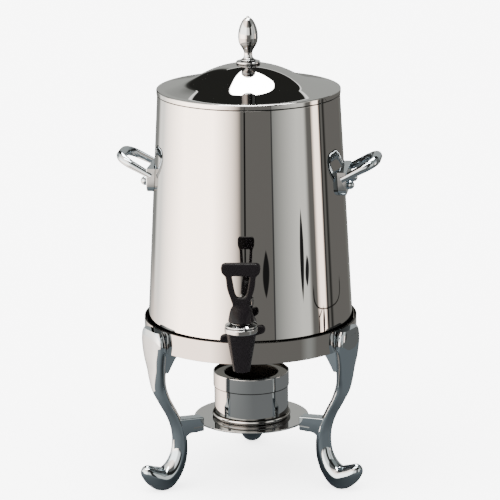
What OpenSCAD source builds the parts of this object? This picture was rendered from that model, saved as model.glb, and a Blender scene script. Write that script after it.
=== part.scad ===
// Insulated coffee urn with a pull-forward tap, standing in a three-legged
// stand with a fuel-can burner under it.
// Frame: +Z up, tap towards -Y, origin on the urn's axis at floor level.

/* [Stand] */
// Height of the ledge that the urn stands on, above the floor
seat_h = 172; // [160:1:190]
// Gap between the urn's foot and the stand's band
band_gap = 1.8; // [1:0.1:4]
// Height of the band above the ledge's underside
band_h = 26; // [20:1:34]
// Wall of the band and of its ledge
band_t = 1.8; // [1.2:0.1:2.4]
// Diameter of the opening inside the ledge
ledge_d = 196; // [180:1:200]
// How far the stand is turned about the urn, seen from above
stand_turn = 3; // [-20:1:20]
// Widest half-width of the shield on a leg's knee
knee_w = 25.5; // [20:0.5:28]
// Half-width of a leg at its ankle
ankle_w = 8.6; // [7:0.2:10]
// Half-thickness of a foot
foot_t = 14; // [12:0.5:16]
// Half-width of a foot
foot_w = 13.5; // [10:0.5:16]
// Width of the shoulder that carries the ledge on each leg
shoulder_w = 20; // [16:1:26]
// Shank diameter of the leg and plate screws
stand_screw_d = 4; // [3:0.5:5]

/* [Burner plate] */
// Height of the plate's top above the floor
plate_h = 71; // [62:1:80]
// Diameter of the plate
plate_d = 135.2; // [120:0.2:140]
// Sheet of the plate
plate_t = 2; // [1.5:0.1:3]
// Height of the arm that reaches from each leg to the plate
arm_h = 17; // [14:0.5:20]
// Width of each arm
arm_w = 15; // [12:0.5:18]
// Width of the plate's ear in each arm
ear_w = 12; // [9:0.5:12]
// How far each ear reaches into its arm
ear_in = 14; // [10:0.5:16]

/* [Burner] */
// Outside diameter of the fuel holder
cup_d = 87.4; // [80:0.2:92]
// Height of the fuel holder's wall
cup_h = 52; // [44:1:60]
// Sheet of the fuel holder and its cover
cup_t = 0.8; // [0.6:0.1:1.2]
// Height of the rolled foot round the fuel holder
bead_h = 6; // [4:0.5:8]
// Depth of the cover's skirt
cover_skirt_h = 15; // [10:0.5:20]
// Diameter of the flame opening in the cover
flame_d = 62.8; // [50:0.2:66]
// How far the cover's top is recessed under its rolled edge
cover_recess = 2.6; // [1.5:0.1:4]

/* [Urn body] */
// Height of the outer shell from the ledge to the lid
shell_h = 286; // [240:1:320]
// Outside diameter of the shell at its foot
foot_d = 241.6; // [238:0.2:242]
// Outside diameter of the shell at its top
neck_d = 210.6; // [208:0.2:214]
// Sheet of the outer shell
shell_t = 1; // [0.8:0.1:1.4]
// How far the vessel's wall lies inside the shell's neck
wall_space = 9.3; // [8.5:0.1:13]
// Sheet of the inner vessel
liner_t = 0.8; // [0.6:0.1:1]
// Height of the vessel's floor above the ledge
liner_rise = 24; // [22:1:30]
// Depth of the recess under the base
base_recess = 17; // [14:1:19]
// Width of the ring that the base stands on
base_foot_w = 6.6; // [5:0.1:8]
// Diameter of the heat-spreading disc
spreader_d = 176; // [150:1:180]
// Air gap between the insulating blanket and the shell's neck
blanket_gap = 1.3; // [1:0.1:4]

/* [Handles] */
// Height of the handle screws above the ledge
handle_up = 185; // [160:1:220]
// How far the line through both handles is turned about the urn, seen from above
handle_turn = -4.5; // [-10:0.5:10]
// Width of the handle's pad on the shell
pad_w = 66; // [60:1:70]
// Height of the pad
pad_h = 28; // [24:1:32]
// How far the pad's face stands out from the shell
pad_out = 5; // [4:0.5:8]
// Spacing of the two screws in each pad
pad_pitch = 40; // [32:1:44]
// Spacing of the loop's two bars where they leave the pad
loop_root_w = 60; // [54:1:60]
// Spacing of the loop's two bars at its tip
loop_w = 52; // [44:1:54]
// How far the loop reaches out from the pad's face
loop_reach = 36; // [30:1:45]
// Rise of the loop above the horizontal, in degrees
loop_rise = 27.3; // [15:0.1:35]
// Diameter of the loop's bar at the pad
loop_root_d = 8.2; // [7:0.2:10]
// Diameter of the loop's bar at its tip
loop_bar_d = 11.6; // [8:0.2:12]
// Corner radius of the loop
loop_corner = 18.5; // [12:0.5:20]
// Diameter of the ball heads
ball_d = 10.4; // [8:0.2:12]
// Diameter of the handle studs
stud_d = 5; // [4:0.5:6]

/* [Lid] */
// How far the lid's rim stands out past the shell's neck
lid_overhang = 0.8; // [0.5:0.1:3]
// Height of the lid's rim
lid_rim_h = 5; // [4:0.5:8]
// Slope of the lid round the dome, in degrees
brim_slope = 13.8; // [8:0.2:18]
// Slope where the dome meets its fillet, in degrees
dome_slope = 28.2; // [24:0.2:34]
// Diameter where the dome meets its fillet
dome_d = 108; // [90:1:120]
// Diameter where the fillet meets the brim
fillet_d = 156; // [140:1:170]
// Sheet of the lid
lid_t = 1; // [0.8:0.1:1.4]
// Depth of the plug that drops into the vessel
plug_h = 18; // [12:1:24]
// Gap between the plug and the vessel's wall
plug_gap = 1.7; // [1.2:0.1:5]

/* [Finial] */
// Diameter of the collar under the finial
collar_d = 28; // [22:0.5:32]
// Thickness of the collar at its edge
collar_t = 3; // [2:0.5:4]
// Height of the finial above the collar
finial_h = 51; // [40:1:60]
// Largest diameter of the finial's bulb
bulb_d = 22.8; // [18:0.2:26]
// Diameter of the finial's neck
finial_neck_d = 9.6; // [8:0.2:12]

/* [Tap] */
// Height of the shank above the ledge
shank_up = 46; // [44:0.5:52]
// Reach of the spout's axis from the shell at the shank
tap_reach = 70; // [66:1:76]
// Outside diameter of the shank
shank_d = 14; // [13:0.5:14.5]
// Waterway through the shank
waterway_d = 9; // [7:0.5:10]
// Diameter of the spout's outside at its mouth
spout_d = 18.4; // [17:0.2:20]
// Diameter of the spout's bore
spout_bore_d = 13; // [11:0.5:13]
// Length of the tap's body under the bonnet
body_h = 44.8; // [42:0.2:50]
// Diameter of the body under the bonnet
body_d = 33.7; // [32:0.1:36]
// Diameter of the valve chamber
chamber_d = 22; // [20:0.5:23]
// Diameter of the bonnet
bonnet_d = 36.9; // [36.4:0.1:40]
// Height of the bonnet
bonnet_h = 12; // [11:0.5:14]
// Span of the wing nut over its wings
wing_span = 52; // [46:1:56]
// Angle of the wings from level, in degrees
wing_angle = 15; // [0:1:30]
// Diameter of the valve stem
stem_d = 6; // [5:0.5:6]

/* [Lever] */
// Overall height of the lever above the bonnet
lever_h = 66; // [60:0.5:74]
// Width of the lever's pad
pad_bar_w = 43.3; // [36:0.1:48]
// Height of the lever's pad
pad_bar_h = 13.6; // [11:0.1:16]
// Thickness of the lever
lever_t = 8; // [7:0.5:10]
// Width of the lever's neck
lever_neck_w = 18; // [16:0.5:20]
// Height of the lever's skirt over the bonnet
skirt_h = 17.5; // [16:0.5:19]
// Diameter of the skirt at its foot
skirt_d = 28.6; // [26:0.2:30]
// Diameter of the cross pin
pin_d = 3; // [2:0.5:3]

/* [Hidden] */
$fn = 64;

rest_gap = 0.3;         // clearance between pieces of different bodies that rest on each other
slip = 0.3;             // clearance between curved pieces of different bodies
seat = 0.05;            // clearance of a screw, pin or tube in its hole
curve_gap = 0.3;        // clearance of a piece seated on the shell's curve
over = 1;               // how far a cutting shape runs past what it cuts

steel = "Silver";
cast = "LightSteelBlue";
black = "DimGray";

// ---- Shared shapes ------------------------------------------------------

// Points of an arc about [x, y], from angle a0 to a1
function arc(x, y, r, a0, a1, n = 8) =
    [for (i = [0:n]) let (a = a0 + (a1 - a0) * i / n) [x + r * cos(a), y + r * sin(a)]];

// A value raised to a power with its sign kept
function signed_pow(v, p) = (v < 0 ? -1 : 1) * pow(abs(v), p);

// A point on the smooth curve through four stations
function blend_station(a, b, c, d, t) =
    0.5 * (2 * b + (c - a) * t + (2 * a - 5 * b + 4 * c - d) * t * t + (3 * b - a - 3 * c + d) * t * t * t);

// Smooth stations between the given ones, steps to each gap
function smooth(s, steps) = let (last = len(s) - 1) [
    for (i = [0:last - 1], j = [0:steps - 1])
        blend_station(s[max(i - 1, 0)], s[i], s[i + 1], s[min(i + 2, last)], j / steps),
    s[last]];

// Closed skin over rings that hold the same number of points
module skin(rings) {
    n = len(rings[0]);
    m = len(rings);
    points = [for (ring = rings) each ring];
    sides = [for (i = [0:m - 2], j = [0:n - 1])
        let (a = i * n + j, b = i * n + (j + 1) % n)
        each [[a, a + n, b], [b, a + n, b + n]]];
    first = [for (j = [0:n - 1]) j];
    last = [for (j = [n - 1:-1:0]) (m - 1) * n + j];
    polyhedron(points, concat([first], sides, [last]));
}

// Ring shape from rim radius r_out inward, drawn as a box in the (r, z) plane
module band_2d(r_in, r_out, z_low, z_high) {
    translate([r_in, z_low]) square([r_out - r_in, z_high - z_low]);
}

// ---- Stand --------------------------------------------------------------

band_r = foot_d / 2 + band_gap + band_t;
ledge_r = ledge_d / 2;
leg_h = seat_h - band_t;                // underside of the ledge
seat_r = band_r + seat;                 // a leg's seat on the band
leg_angles = [210, 330, 90];            // left, right and back leg, before the stand is turned
leg_screw_r = ledge_r + 8;
leg_screw_off = shoulder_w / 4 + 0.5;   // half the spacing of each leg's two screws
screw_head_h = 2;
screw_bite = 9;                         // thread length in the leg

module stand_ring() {
    color(steel) rotate([0, 0, stand_turn]) difference() {
        rotate_extrude($fn = 128) {
            band_2d(band_r - band_t, band_r, leg_h, leg_h + band_h - band_t / 2);
            band_2d(ledge_r, band_r, leg_h, seat_h);
            translate([band_r - band_t / 2, leg_h + band_h - band_t / 2]) circle(d = band_t, $fn = 24);
        }
        at_legs() leg_screw_holes(stand_screw_d + 0.4);
    }
}

// Repeats its children at each leg, with +X pointing outwards
module at_legs() for (a = leg_angles) rotate([0, 0, a]) children();

module leg_screw_holes(d) {
    for (side = [-1, 1]) translate([leg_screw_r, side * leg_screw_off, leg_h - screw_bite])
        cylinder(d = d, h = screw_bite + band_t + over, $fn = 24);
}

// A leg's stations from the knee's top to the toe:
// distance from the axis, height, half-thickness, half-width, narrowing of the inner side, squareness
leg_stations = [
    [band_r + 5.2, leg_h * 1.146, 4.6, knee_w * 0.72, 0.0, 3.0],
    [band_r + 4.8, leg_h * 1.110, 6.0, knee_w * 0.90, 0.1, 3.0],
    [band_r + 3.6, leg_h * 1.035, 7.6, knee_w, 0.2, 2.8],
    [band_r + 1.6, leg_h * 0.950, 9.4, knee_w * 0.94, 0.45, 2.6],
    [band_r + 0.2, leg_h * 0.870, 9.2, knee_w * 0.80, 0.55, 2.4],
    [band_r + 0.2, leg_h * 0.800, 8.6, knee_w * 0.60, 0.35, 2.2],
    [band_r - 1.6, leg_h * 0.725, 8.4, knee_w * 0.42, 0.1, 2.0],
    [band_r - 8.2, leg_h * 0.630, 7.0, ankle_w * 1.06, 0, 2.0],
    [band_r - 17.4, leg_h * 0.530, 6.8, ankle_w * 0.98, 0, 2.0],
    [band_r - 24.2, leg_h * 0.430, 7.6, ankle_w, 0, 2.0],
    [band_r - 27.2, leg_h * 0.324, 9.0, ankle_w * 1.06, 0, 2.0],
    [band_r - 25.2, leg_h * 0.218, 10.2, ankle_w * 1.24, 0, 2.0],
    [band_r - 17.2, leg_h * 0.126, foot_t * 0.86, foot_w * 0.92, 0, 2.0],
    [band_r - 5.0, foot_t - 1.3, foot_t, foot_w, 0, 2.1],
    [band_r + 7.0, foot_t + 3.6, foot_t * 0.88, foot_w * 0.94, 0, 2.0],
    [band_r + 15.0, foot_t + 9.6, foot_t * 0.66, foot_w * 0.76, 0, 2.0],
    [band_r + 19.6, foot_t + 13.2, foot_t * 0.46, foot_w * 0.52, 0, 2.0],
    [band_r + 22.2, foot_t + 15.0, foot_t * 0.16, foot_w * 0.20, 0, 2.0]];
leg_steps = 2;
leg_sides = 20;
leg_path = smooth(leg_stations, leg_steps);

// Ring of points round station i of the leg
function leg_ring(i) =
    let (
        s = leg_path[i],
        a = leg_path[max(i - 1, 0)],
        b = leg_path[min(i + 1, len(leg_path) - 1)],
        run = norm([b[0] - a[0], b[1] - a[1]]),
        n = [(a[1] - b[1]) / run, (b[0] - a[0]) / run])
    [for (k = [0:leg_sides - 1])
        let (
            q = 360 * k / leg_sides,
            u = s[2] * signed_pow(sin(q), 2 / s[5]),
            v = s[3] * signed_pow(cos(q), 2 / s[5]) * (1 - s[4] * (1 - sin(q)) / 2))
        [s[0] + u * n[0], v, s[1] + u * n[1]]];

// The leg's distance from the axis at height z, along its upper part
leg_reach = [for (i = [24:-1:0]) [leg_path[i][1], leg_path[i][0]]];
function leg_r(z) = lookup(z, leg_reach);

arm_top = plate_h + arm_h * 0.6;
arm_low = arm_top - arm_h;
arm_in = plate_d / 2 + 0.4;             // inner end of each arm, just clear of the plate's edge
arm_root = leg_r(plate_h);
plate_screw_r = plate_d / 2 + ear_in * 0.55;

module leg() {
    difference() {
        union() {
            difference() {
                skin([for (i = [0:len(leg_path) - 1]) leg_ring(i)]);
                // seat round the band and flat under the foot
                translate([0, 0, leg_h]) cylinder(r = seat_r, h = 2 * band_h, $fn = 128);
                translate([0, -knee_w, -foot_t]) cube([band_r + 3 * foot_t, 2 * knee_w, foot_t]);
            }
            shoulder();
            arm();
        }
        leg_screw_holes(stand_screw_d + 2 * seat);
        // saw slot that takes the plate's ear
        translate([0, -arm_w, plate_h - plate_t]) cube([plate_d / 2 + ear_in + 0.4, 2 * arm_w, plate_t]);
        translate([plate_screw_r, 0, arm_low - over])
            cylinder(d = stand_screw_d + 0.2, h = plate_h - arm_low + over + screw_bite - 4, $fn = 24);
    }
}

// Web on the leg's inner side that carries the ledge
module shoulder() {
    in = ledge_r + 2;
    rotate([90, 0, 0]) translate([0, 0, -shoulder_w / 2]) linear_extrude(shoulder_w)
        polygon([[in, leg_h], [in, leg_h - 4], [in + 7.5, leg_h - 14], [in + 15, leg_h * 0.84],
            [leg_r(leg_h * 0.84), leg_h * 0.84], [band_r, leg_h]]);
}

// Arm from the leg to the burner plate, with a fillet under its root
module arm() {
    fillet = 10;
    rotate([90, 0, 0]) translate([0, 0, -arm_w / 2]) linear_extrude(arm_w)
        polygon(concat(
            [[arm_in, arm_low + 1], [arm_in, arm_top - 1], [arm_in + 1, arm_top],
                [arm_root - 6, arm_top + 2], [arm_root, arm_top + 2], [arm_root, arm_low - fillet]],
            arc(arm_root - 7 - fillet, arm_low - fillet, fillet, 0, 90, 6),
            [[arm_in + 1, arm_low]]));
}

module leg_left() color(cast) rotate([0, 0, stand_turn + leg_angles[0]]) leg();
module leg_right() color(cast) rotate([0, 0, stand_turn + leg_angles[1]]) leg();
module leg_back() color(cast) rotate([0, 0, stand_turn + leg_angles[2]]) leg();

// Round-headed screw with its head's underside at z = 0, pointing down
module round_screw(d, length) {
    translate([0, 0, -length]) cylinder(d = d, h = length, $fn = 24);
    cylinder(d1 = 1.75 * d, d2 = 1.2 * d, h = screw_head_h, $fn = 24);
}

module leg_screws() color(steel) rotate([0, 0, stand_turn]) at_legs()
    for (side = [-1, 1]) translate([leg_screw_r, side * leg_screw_off, seat_h])
        round_screw(stand_screw_d, band_t + screw_bite - 1);

// ---- Burner plate -------------------------------------------------------

module burner_plate() {
    color(steel) rotate([0, 0, stand_turn]) translate([0, 0, plate_h - plate_t]) difference() {
        union() {
            cylinder(d = plate_d, h = plate_t, $fn = 128);
            at_legs() translate([plate_d / 2 - 6, -ear_w / 2, 0]) cube([ear_in + 6, ear_w, plate_t]);
        }
        at_legs() translate([plate_screw_r, 0, -over])
            cylinder(d = stand_screw_d + 0.2, h = plate_t + 2 * over, $fn = 24);
    }
}

module plate_screws() color(steel) rotate([0, 0, stand_turn]) at_legs()
    translate([plate_screw_r, 0, arm_low]) rotate([180, 0, 0])
        round_screw(stand_screw_d, plate_h - arm_low + screw_bite - 5);

// ---- Burner -------------------------------------------------------------

cup_r = cup_d / 2;
cup_floor = plate_h + rest_gap;
bead_r = bead_h / 2;
cover_r = cup_r + slip + cup_t;
cover_low = cup_floor + cup_h - cover_skirt_h + cup_t;
cover_top = cup_floor + cup_h + rest_gap + cup_t + cover_recess;

module burner_cup() {
    color(steel) rotate_extrude($fn = 96) {
        band_2d(0, cup_r, cup_floor, cup_floor + cup_t);
        band_2d(cup_r - cup_t, cup_r, cup_floor, cup_floor + cup_h);
        // rolled foot, hollow as it is rolled from the wall
        difference() {
            union() {
                translate([cup_r - 0.6, cup_floor + bead_r]) circle(r = bead_r, $fn = 32);
                band_2d(cup_r - 1.2, cup_r, cup_floor, cup_floor + bead_h);
            }
            band_2d(0, cup_r - cup_t, cup_floor - over, cup_floor + bead_h + over);
        }
    }
}

module burner_cover() {
    annulus_top = cover_top - cover_recess;
    color(steel) rotate_extrude($fn = 96) {
        band_2d(cover_r - cup_t, cover_r, cover_low, cover_top - 0.8);
        translate([cover_r - 0.8, cover_top - 0.8]) circle(r = 0.8, $fn = 24);
        band_2d(flame_d / 2, cover_r - cup_t / 2, annulus_top - cup_t, annulus_top);
        band_2d(flame_d / 2, flame_d / 2 + cup_t, annulus_top - 4, annulus_top);
    }
}

// ---- Urn body -----------------------------------------------------------

urn_z = seat_h + rest_gap;              // underside of the urn
shell_top = urn_z + shell_h;
shell_taper = (foot_d - neck_d) / 2 / shell_h;
function shell_r(z) = foot_d / 2 - shell_taper * (z - urn_z);
liner_d = neck_d - 2 * wall_space;      // outside of the vessel
liner_floor = urn_z + liner_rise;
deck_t = 1;
deck_top = shell_top + deck_t;
shank_z = urn_z + shank_up;
shank_wall = shell_r(shank_z);          // shell's radius at the shank
tap_y = -(shank_wall + tap_reach);
handle_z = urn_z + handle_up;
handle_face = shell_r(handle_z) + pad_out;

// Solid cone that follows the shell, grown by extra, between two heights
module shell_cone(extra, z_low, z_high, sides = 128) {
    translate([0, 0, z_low]) cylinder(r1 = shell_r(z_low) + extra, r2 = shell_r(z_high) + extra,
        h = z_high - z_low, $fn = sides);
}

// Runs its children along -Y at the shank, with local +Z pointing out through the wall
module at_shank(y) translate([0, y, shank_z]) rotate([90, 0, 0]) children();

module outer_shell() {
    color(steel) difference() {
        shell_cone(0, urn_z, shell_top);
        shell_cone(-shell_t, urn_z - over, shell_top + over);
        shank_hole(shank_wall);
        for (side = [0, 180]) rotate([0, 0, handle_turn + side]) stud_holes(stud_d + 0.4);
    }
}

// Hole for the shank through a wall of radius r
module shank_hole(r) at_shank(shank_d - r) cylinder(d = shank_d + 2 * seat, h = 2 * shank_d);

// Holes for one pad's two studs, along +X
module stud_holes(d) {
    start = backing_out - 2 * backing_t;
    for (side = [-1, 1]) translate([start, side * pad_pitch / 2, handle_z]) rotate([0, 90, 0])
        cylinder(d = d, h = handle_face + over - start, $fn = 24);
}

module top_deck() {
    color(steel) rotate_extrude($fn = 128)
        polygon(concat(
            [[liner_d / 2 - liner_t, shell_top], [neck_d / 2, shell_top]],
            arc(neck_d / 2, shell_top + deck_t / 2, deck_t / 2, -90, 90, 6),
            [[liner_d / 2 - liner_t, deck_top]]));
}

module inner_liner() {
    r = liner_d / 2;
    bend = 7;
    color(steel) difference() {
        rotate_extrude($fn = 128)
            polygon(concat(
                [[0, liner_floor]],
                arc(r - bend, liner_floor + bend, bend, -90, 0),
                [[r, shell_top], [r - liner_t, shell_top]],
                arc(r - bend, liner_floor + bend, bend - liner_t, 0, -90),
                [[0, liner_floor + liner_t]]));
        shank_hole(r);
    }
}

module base_pan() {
    t = shell_t;
    outer = shell_r(urn_z + base_recess) - shell_t - curve_gap;
    wall = outer - base_foot_w;
    color(steel) rotate_extrude($fn = 128) {
        band_2d(wall, outer, urn_z, urn_z + t);
        band_2d(outer - t, outer, urn_z, urn_z + base_recess * 0.6);
        band_2d(wall, wall + t, urn_z, urn_z + base_recess);
        band_2d(0, wall + t, urn_z + base_recess, urn_z + base_recess + t);
    }
}

spreader_z = urn_z + base_recess + shell_t;

module heat_spreader() color("Gainsboro") translate([0, 0, spreader_z])
    cylinder(d = spreader_d, h = liner_floor - spreader_z, $fn = 96);

module insulation() {
    color("Khaki") difference() {
        rotate_extrude($fn = 96) band_2d(liner_d / 2 + seat, neck_d / 2 - shell_t - blanket_gap,
            liner_floor + 4, shell_top - 2);
        // window round the shank
        at_shank(shank_d - liner_d / 2) cylinder(d = 2 * shank_d, h = 3 * shank_d);
    }
}

// ---- Handles ------------------------------------------------------------

loop_sides = 14;
loop_z = handle_z + pad_h * 0.4;        // height where the loop leaves the pad's face
loop_in = 7;                            // how far the bars run back into the pad
loop_lean = (loop_root_w - loop_w) / 2 / loop_reach;
loop_corner_x = loop_reach - loop_corner;
loop_corner_y = loop_root_w / 2 - loop_lean * loop_corner_x - loop_corner * sqrt(1 + loop_lean * loop_lean);

// Centre line of half the loop in its own plane: [out, across]
loop_half = concat(
    [[-loop_in, loop_root_w / 2 + loop_in * loop_lean], [0, loop_root_w / 2]],
    arc(loop_corner_x, loop_corner_y, loop_corner, 90 - atan(loop_lean), 0, 7));
loop_line = concat(loop_half, [for (i = [len(loop_half) - 1:-1:0]) [loop_half[i][0], -loop_half[i][1]]]);

// Ring of points round point i of the loop; the bar grows thicker towards the tip
function loop_ring(i) =
    let (
        a = loop_line[max(i - 1, 0)],
        b = loop_line[min(i + 1, len(loop_line) - 1)],
        p = loop_line[i],
        n = [b[1] - a[1], a[0] - b[0]] / norm(b - a),
        r = (loop_root_d + (loop_bar_d - loop_root_d) * max(p[0], 0) / loop_reach) / 2)
    [for (k = [0:loop_sides - 1])
        let (q = 360 * k / loop_sides, c = p + n * r * cos(q))
        [c[0], c[1], -r * sin(q)]];

// One handle on the +X side: pad and loop cast in one piece
module handle() {
    difference() {
        union() {
            translate([handle_face, 0, loop_z]) rotate([0, -loop_rise, 0])
                skin([for (i = [0:len(loop_line) - 1]) loop_ring(i)]);
            translate([shell_r(handle_z) - 12, 0, handle_z]) rotate([90, 0, 90])
                linear_extrude(handle_face - shell_r(handle_z) + 12) pad_2d();
        }
        shell_cone(curve_gap, handle_z - pad_h * 2, handle_z + pad_h * 2);
        stud_holes(stud_d + 2 * seat);
    }
}

// Pad seen from outside: square shoulders and round lower corners
module pad_2d() {
    corner = 8;
    low = -pad_h * 0.4;
    polygon(concat(
        [[-pad_w / 2, low + pad_h], [-pad_w / 2, low + corner]],
        arc(-pad_w / 2 + corner, low + corner, corner, 180, 270, 6),
        arc(pad_w / 2 - corner, low + corner, corner, -90, 0, 6),
        [[pad_w / 2, low + pad_h]]));
}

// Ball-headed studs through the pad into the backing strip
module handle_studs() {
    for (side = [-1, 1]) translate([0, side * pad_pitch / 2, handle_z]) {
        intersection() {
            translate([handle_face + ball_d * 0.3, 0, 0]) sphere(d = ball_d, $fn = 48);
            translate([handle_face, -ball_d, -ball_d]) cube(2 * ball_d);
        }
        translate([backing_out - backing_t + 0.5, 0, 0]) rotate([0, 90, 0])
            cylinder(d = stud_d, h = handle_face - backing_out + backing_t, $fn = 24);
    }
}

backing_t = 3;
backing_h = 14;
// outer face of the backing strip at the studs
backing_out = sqrt(pow(shell_r(handle_z) - shell_t - curve_gap, 2) - pow(pad_pitch / 2, 2));

// Curved strip inside the shell that the studs screw into
module backing() {
    w = pad_pitch + 3 * stud_d;
    difference() {
        intersection() {
            shell_cone(-shell_t - curve_gap, handle_z - backing_h, handle_z + backing_h);
            translate([0, -w / 2, handle_z - backing_h / 2]) cube([foot_d, w, backing_h]);
        }
        shell_cone(-shell_t - backing_t, handle_z - 2 * backing_h, handle_z + 2 * backing_h);
        stud_holes(stud_d + 2 * seat);
    }
}

module on_right() rotate([0, 0, handle_turn]) children();
module on_left() rotate([0, 0, handle_turn + 180]) children();

module handle_right() color(cast) on_right() handle();
module handle_left() color(cast) on_left() handle();
module handle_screws_right() color(steel) on_right() handle_studs();
module handle_screws_left() color(steel) on_left() handle_studs();
module handle_backing_right() color(steel) on_right() backing();
module handle_backing_left() color(steel) on_left() backing();

// ---- Tap: shank, body and bonnet ----------------------------------------

gasket_t = 1.5;
flange_t = 4;
flange_d = shank_d + 12;
inlet_d = shank_d + 4;                  // outside of the body's threaded inlet
wing_l = 12;
wing_y = tap_y + bonnet_d / 2 + wing_l / 2 + 0.5;   // middle of the wing nut
collar_y = wing_y + wing_l / 2 - 4;     // face of the shank's collar that the nut pulls on
collar_l = 3;
inlet_end = collar_y - collar_l;        // joint between the shank and the body
bonnet_z = shank_z + 9.5;               // joint between the body and the bonnet
spout_z = bonnet_z - body_h;
valve_seat_z = shank_z - waterway_d / 2 - 1.5;
bonnet_top = bonnet_z + bonnet_h;
spigot_d = chamber_d + 5;               // body's neck that the bonnet screws onto
spigot_h = 7;
liner_wall_in = liner_d / 2 - liner_t;
shank_in = 14;                          // how far the shank reaches into the vessel
// how far the curved walls fall back from flat over a flange's radius
shell_sag = shank_wall - sqrt(pow(shank_wall, 2) - pow(flange_d / 2, 2)) + shell_taper * flange_d / 2;
liner_sag = liner_d / 2 - sqrt(pow(liner_d / 2, 2) - pow(flange_d / 2, 2));
flange_y = -(shank_wall + gasket_t);

module tap_shank() {
    start = shank_in - liner_wall_in;
    color(steel) difference() {
        union() {
            at_shank(start) cylinder(d = shank_d, h = start - inlet_end);
            at_shank(flange_y) cylinder(d = flange_d, h = flange_t);
            at_shank(collar_y) cylinder(d = shank_d + 2.6, h = collar_l);
        }
        at_shank(start + over) cylinder(d = waterway_d, h = start - inlet_end + 2 * over);
    }
}

// Rubber ring between the shank's flange and the shell, moulded to the curve
module shank_gasket() {
    color(black) difference() {
        at_shank(flange_y + shell_sag + gasket_t) cylinder(d = flange_d, h = shell_sag + gasket_t);
        shell_cone(curve_gap, shank_z - flange_d, shank_z + flange_d, 480);
        shank_hole(shank_wall);
    }
}

nut_gasket_t = 1.5;
nut_face = liner_wall_in - liner_sag - nut_gasket_t;

// Silicone ring between the lock nut and the vessel, moulded to the curve
module liner_gasket() {
    color("Gainsboro") difference() {
        intersection() {
            at_shank(-nut_face) cylinder(d = flange_d, h = liner_sag + nut_gasket_t);
            translate([0, 0, liner_floor])
                cylinder(r = liner_wall_in - curve_gap, h = shell_h / 2, $fn = 480);
        }
        shank_hole(nut_face);
    }
}

module shank_nut() {
    t = 6;
    color(steel) difference() {
        at_shank(-nut_face + t) cylinder(d = shank_d + 10, h = t, $fn = 6);
        shank_hole(nut_face);
    }
}

// Coupling nut with two wings; it turns on the shank's collar and draws the body in
module wing_nut() {
    hub_r = inlet_d / 2 + 3.4;
    lobe = 4.6;
    color(black) difference() {
        union() {
            at_shank(wing_y + wing_l / 2) cylinder(r = hub_r, h = wing_l);
            for (side = [0, 180]) at_shank(wing_y + 4.5) rotate([0, 0, wing_angle + side]) hull() {
                translate([hub_r - 5, 0, 0]) cylinder(r = lobe + 1, h = 9, $fn = 24);
                translate([wing_span / 2 - lobe, 0, 1]) cylinder(r = lobe, h = 7, $fn = 24);
            }
        }
        at_shank(wing_y + wing_l / 2 + over) cylinder(d = shank_d + 2 * seat, h = wing_l + 2 * over);
        at_shank(collar_y) cylinder(d = inlet_d + 2 * seat, h = wing_l);
    }
}

module tap_body() {
    low = valve_seat_z;
    color(black) difference() {
        union() {
            translate([0, tap_y, spout_z]) cylinder(d1 = spout_d, d2 = body_d, h = body_h);
            translate([0, tap_y, bonnet_z]) cylinder(d = spigot_d, h = spigot_h);
            at_shank(inlet_end) cylinder(d = inlet_d, h = inlet_end - tap_y);
        }
        // spout, seat and valve chamber
        translate([0, tap_y, spout_z - over]) cylinder(d = spout_bore_d, h = body_h);
        translate([0, tap_y, low]) cylinder(d = chamber_d, h = bonnet_z + spigot_h - low + over);
        at_shank(inlet_end + over) cylinder(d = waterway_d, h = inlet_end + over - tap_y);
    }
}

module tap_bonnet() {
    r = bonnet_d / 2;
    z = bonnet_z;
    groove = bonnet_h * 0.52;
    crown_r = 12.5;
    color("Gainsboro") translate([0, tap_y, 0]) rotate_extrude()
        polygon(concat(
            [[spigot_d / 2 + seat, z]],
            arc(r - 1.2, z + 1.2, 1.2, -90, 0, 4),
            arc(r - 1, z + groove - 1.4, 1, 0, 80, 4),
            [[r - 1.4, z + groove]],
            arc(r - 1.4, z + groove + 1.4, 1, -60, 60, 4),
            [[crown_r, bonnet_top - 0.3], [crown_r - 1, bonnet_top], [stem_d / 2 + slip, bonnet_top],
                [stem_d / 2 + slip, z + spigot_h + 0.3], [spigot_d / 2 + seat, z + spigot_h + 0.3]]));
}

// ---- Tap: lever and valve ------------------------------------------------

lever_z = bonnet_top + rest_gap;
skirt_r = skirt_d / 2;
pin_up = 7;                             // cross pin's height above the skirt's foot
pin_z = lever_z + pin_up;
lever_max = 24;                         // full pull, in degrees
// the lever rocks on the front edge of its skirt, so the pin moves this far in Y
pin_path_y = skirt_r * cos(lever_max) - pin_up * sin(lever_max) - skirt_r;
pad_r = pad_bar_h / 2;
pad_z = lever_z + lever_h - pad_r;
eye_top = lever_z + skirt_h + 7;        // foot of the loop's opening
neck_top = lever_z + skirt_h + 2;

// Opening of the loop: straight top corners, sides that close to a round foot
module lever_eye_2d() {
    top = pad_z - pad_r - 0.6;
    hull() {
        for (side = [-1, 1]) translate([side * 8.6, top - 1.4]) circle(r = 1.4, $fn = 16);
        translate([0, eye_top + 5.6]) circle(r = 5.6, $fn = 32);
    }
}

// Outline of the loop and its pad
module lever_loop_2d() {
    half = pad_bar_w / 2 - pad_r;
    hull() for (side = [-1, 1]) translate([side * half, pad_z]) circle(r = pad_r, $fn = 32);
    hull() {
        for (side = [-1, 1]) translate([side * (half - 1), pad_z - 3]) circle(r = 3, $fn = 16);
        for (side = [-1, 1]) translate([side * 13.2, eye_top + 10]) circle(r = 2, $fn = 16);
        for (side = [-1, 1]) translate([side * (lever_neck_w / 2 - 2), neck_top]) circle(r = 2, $fn = 16);
    }
}

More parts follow.
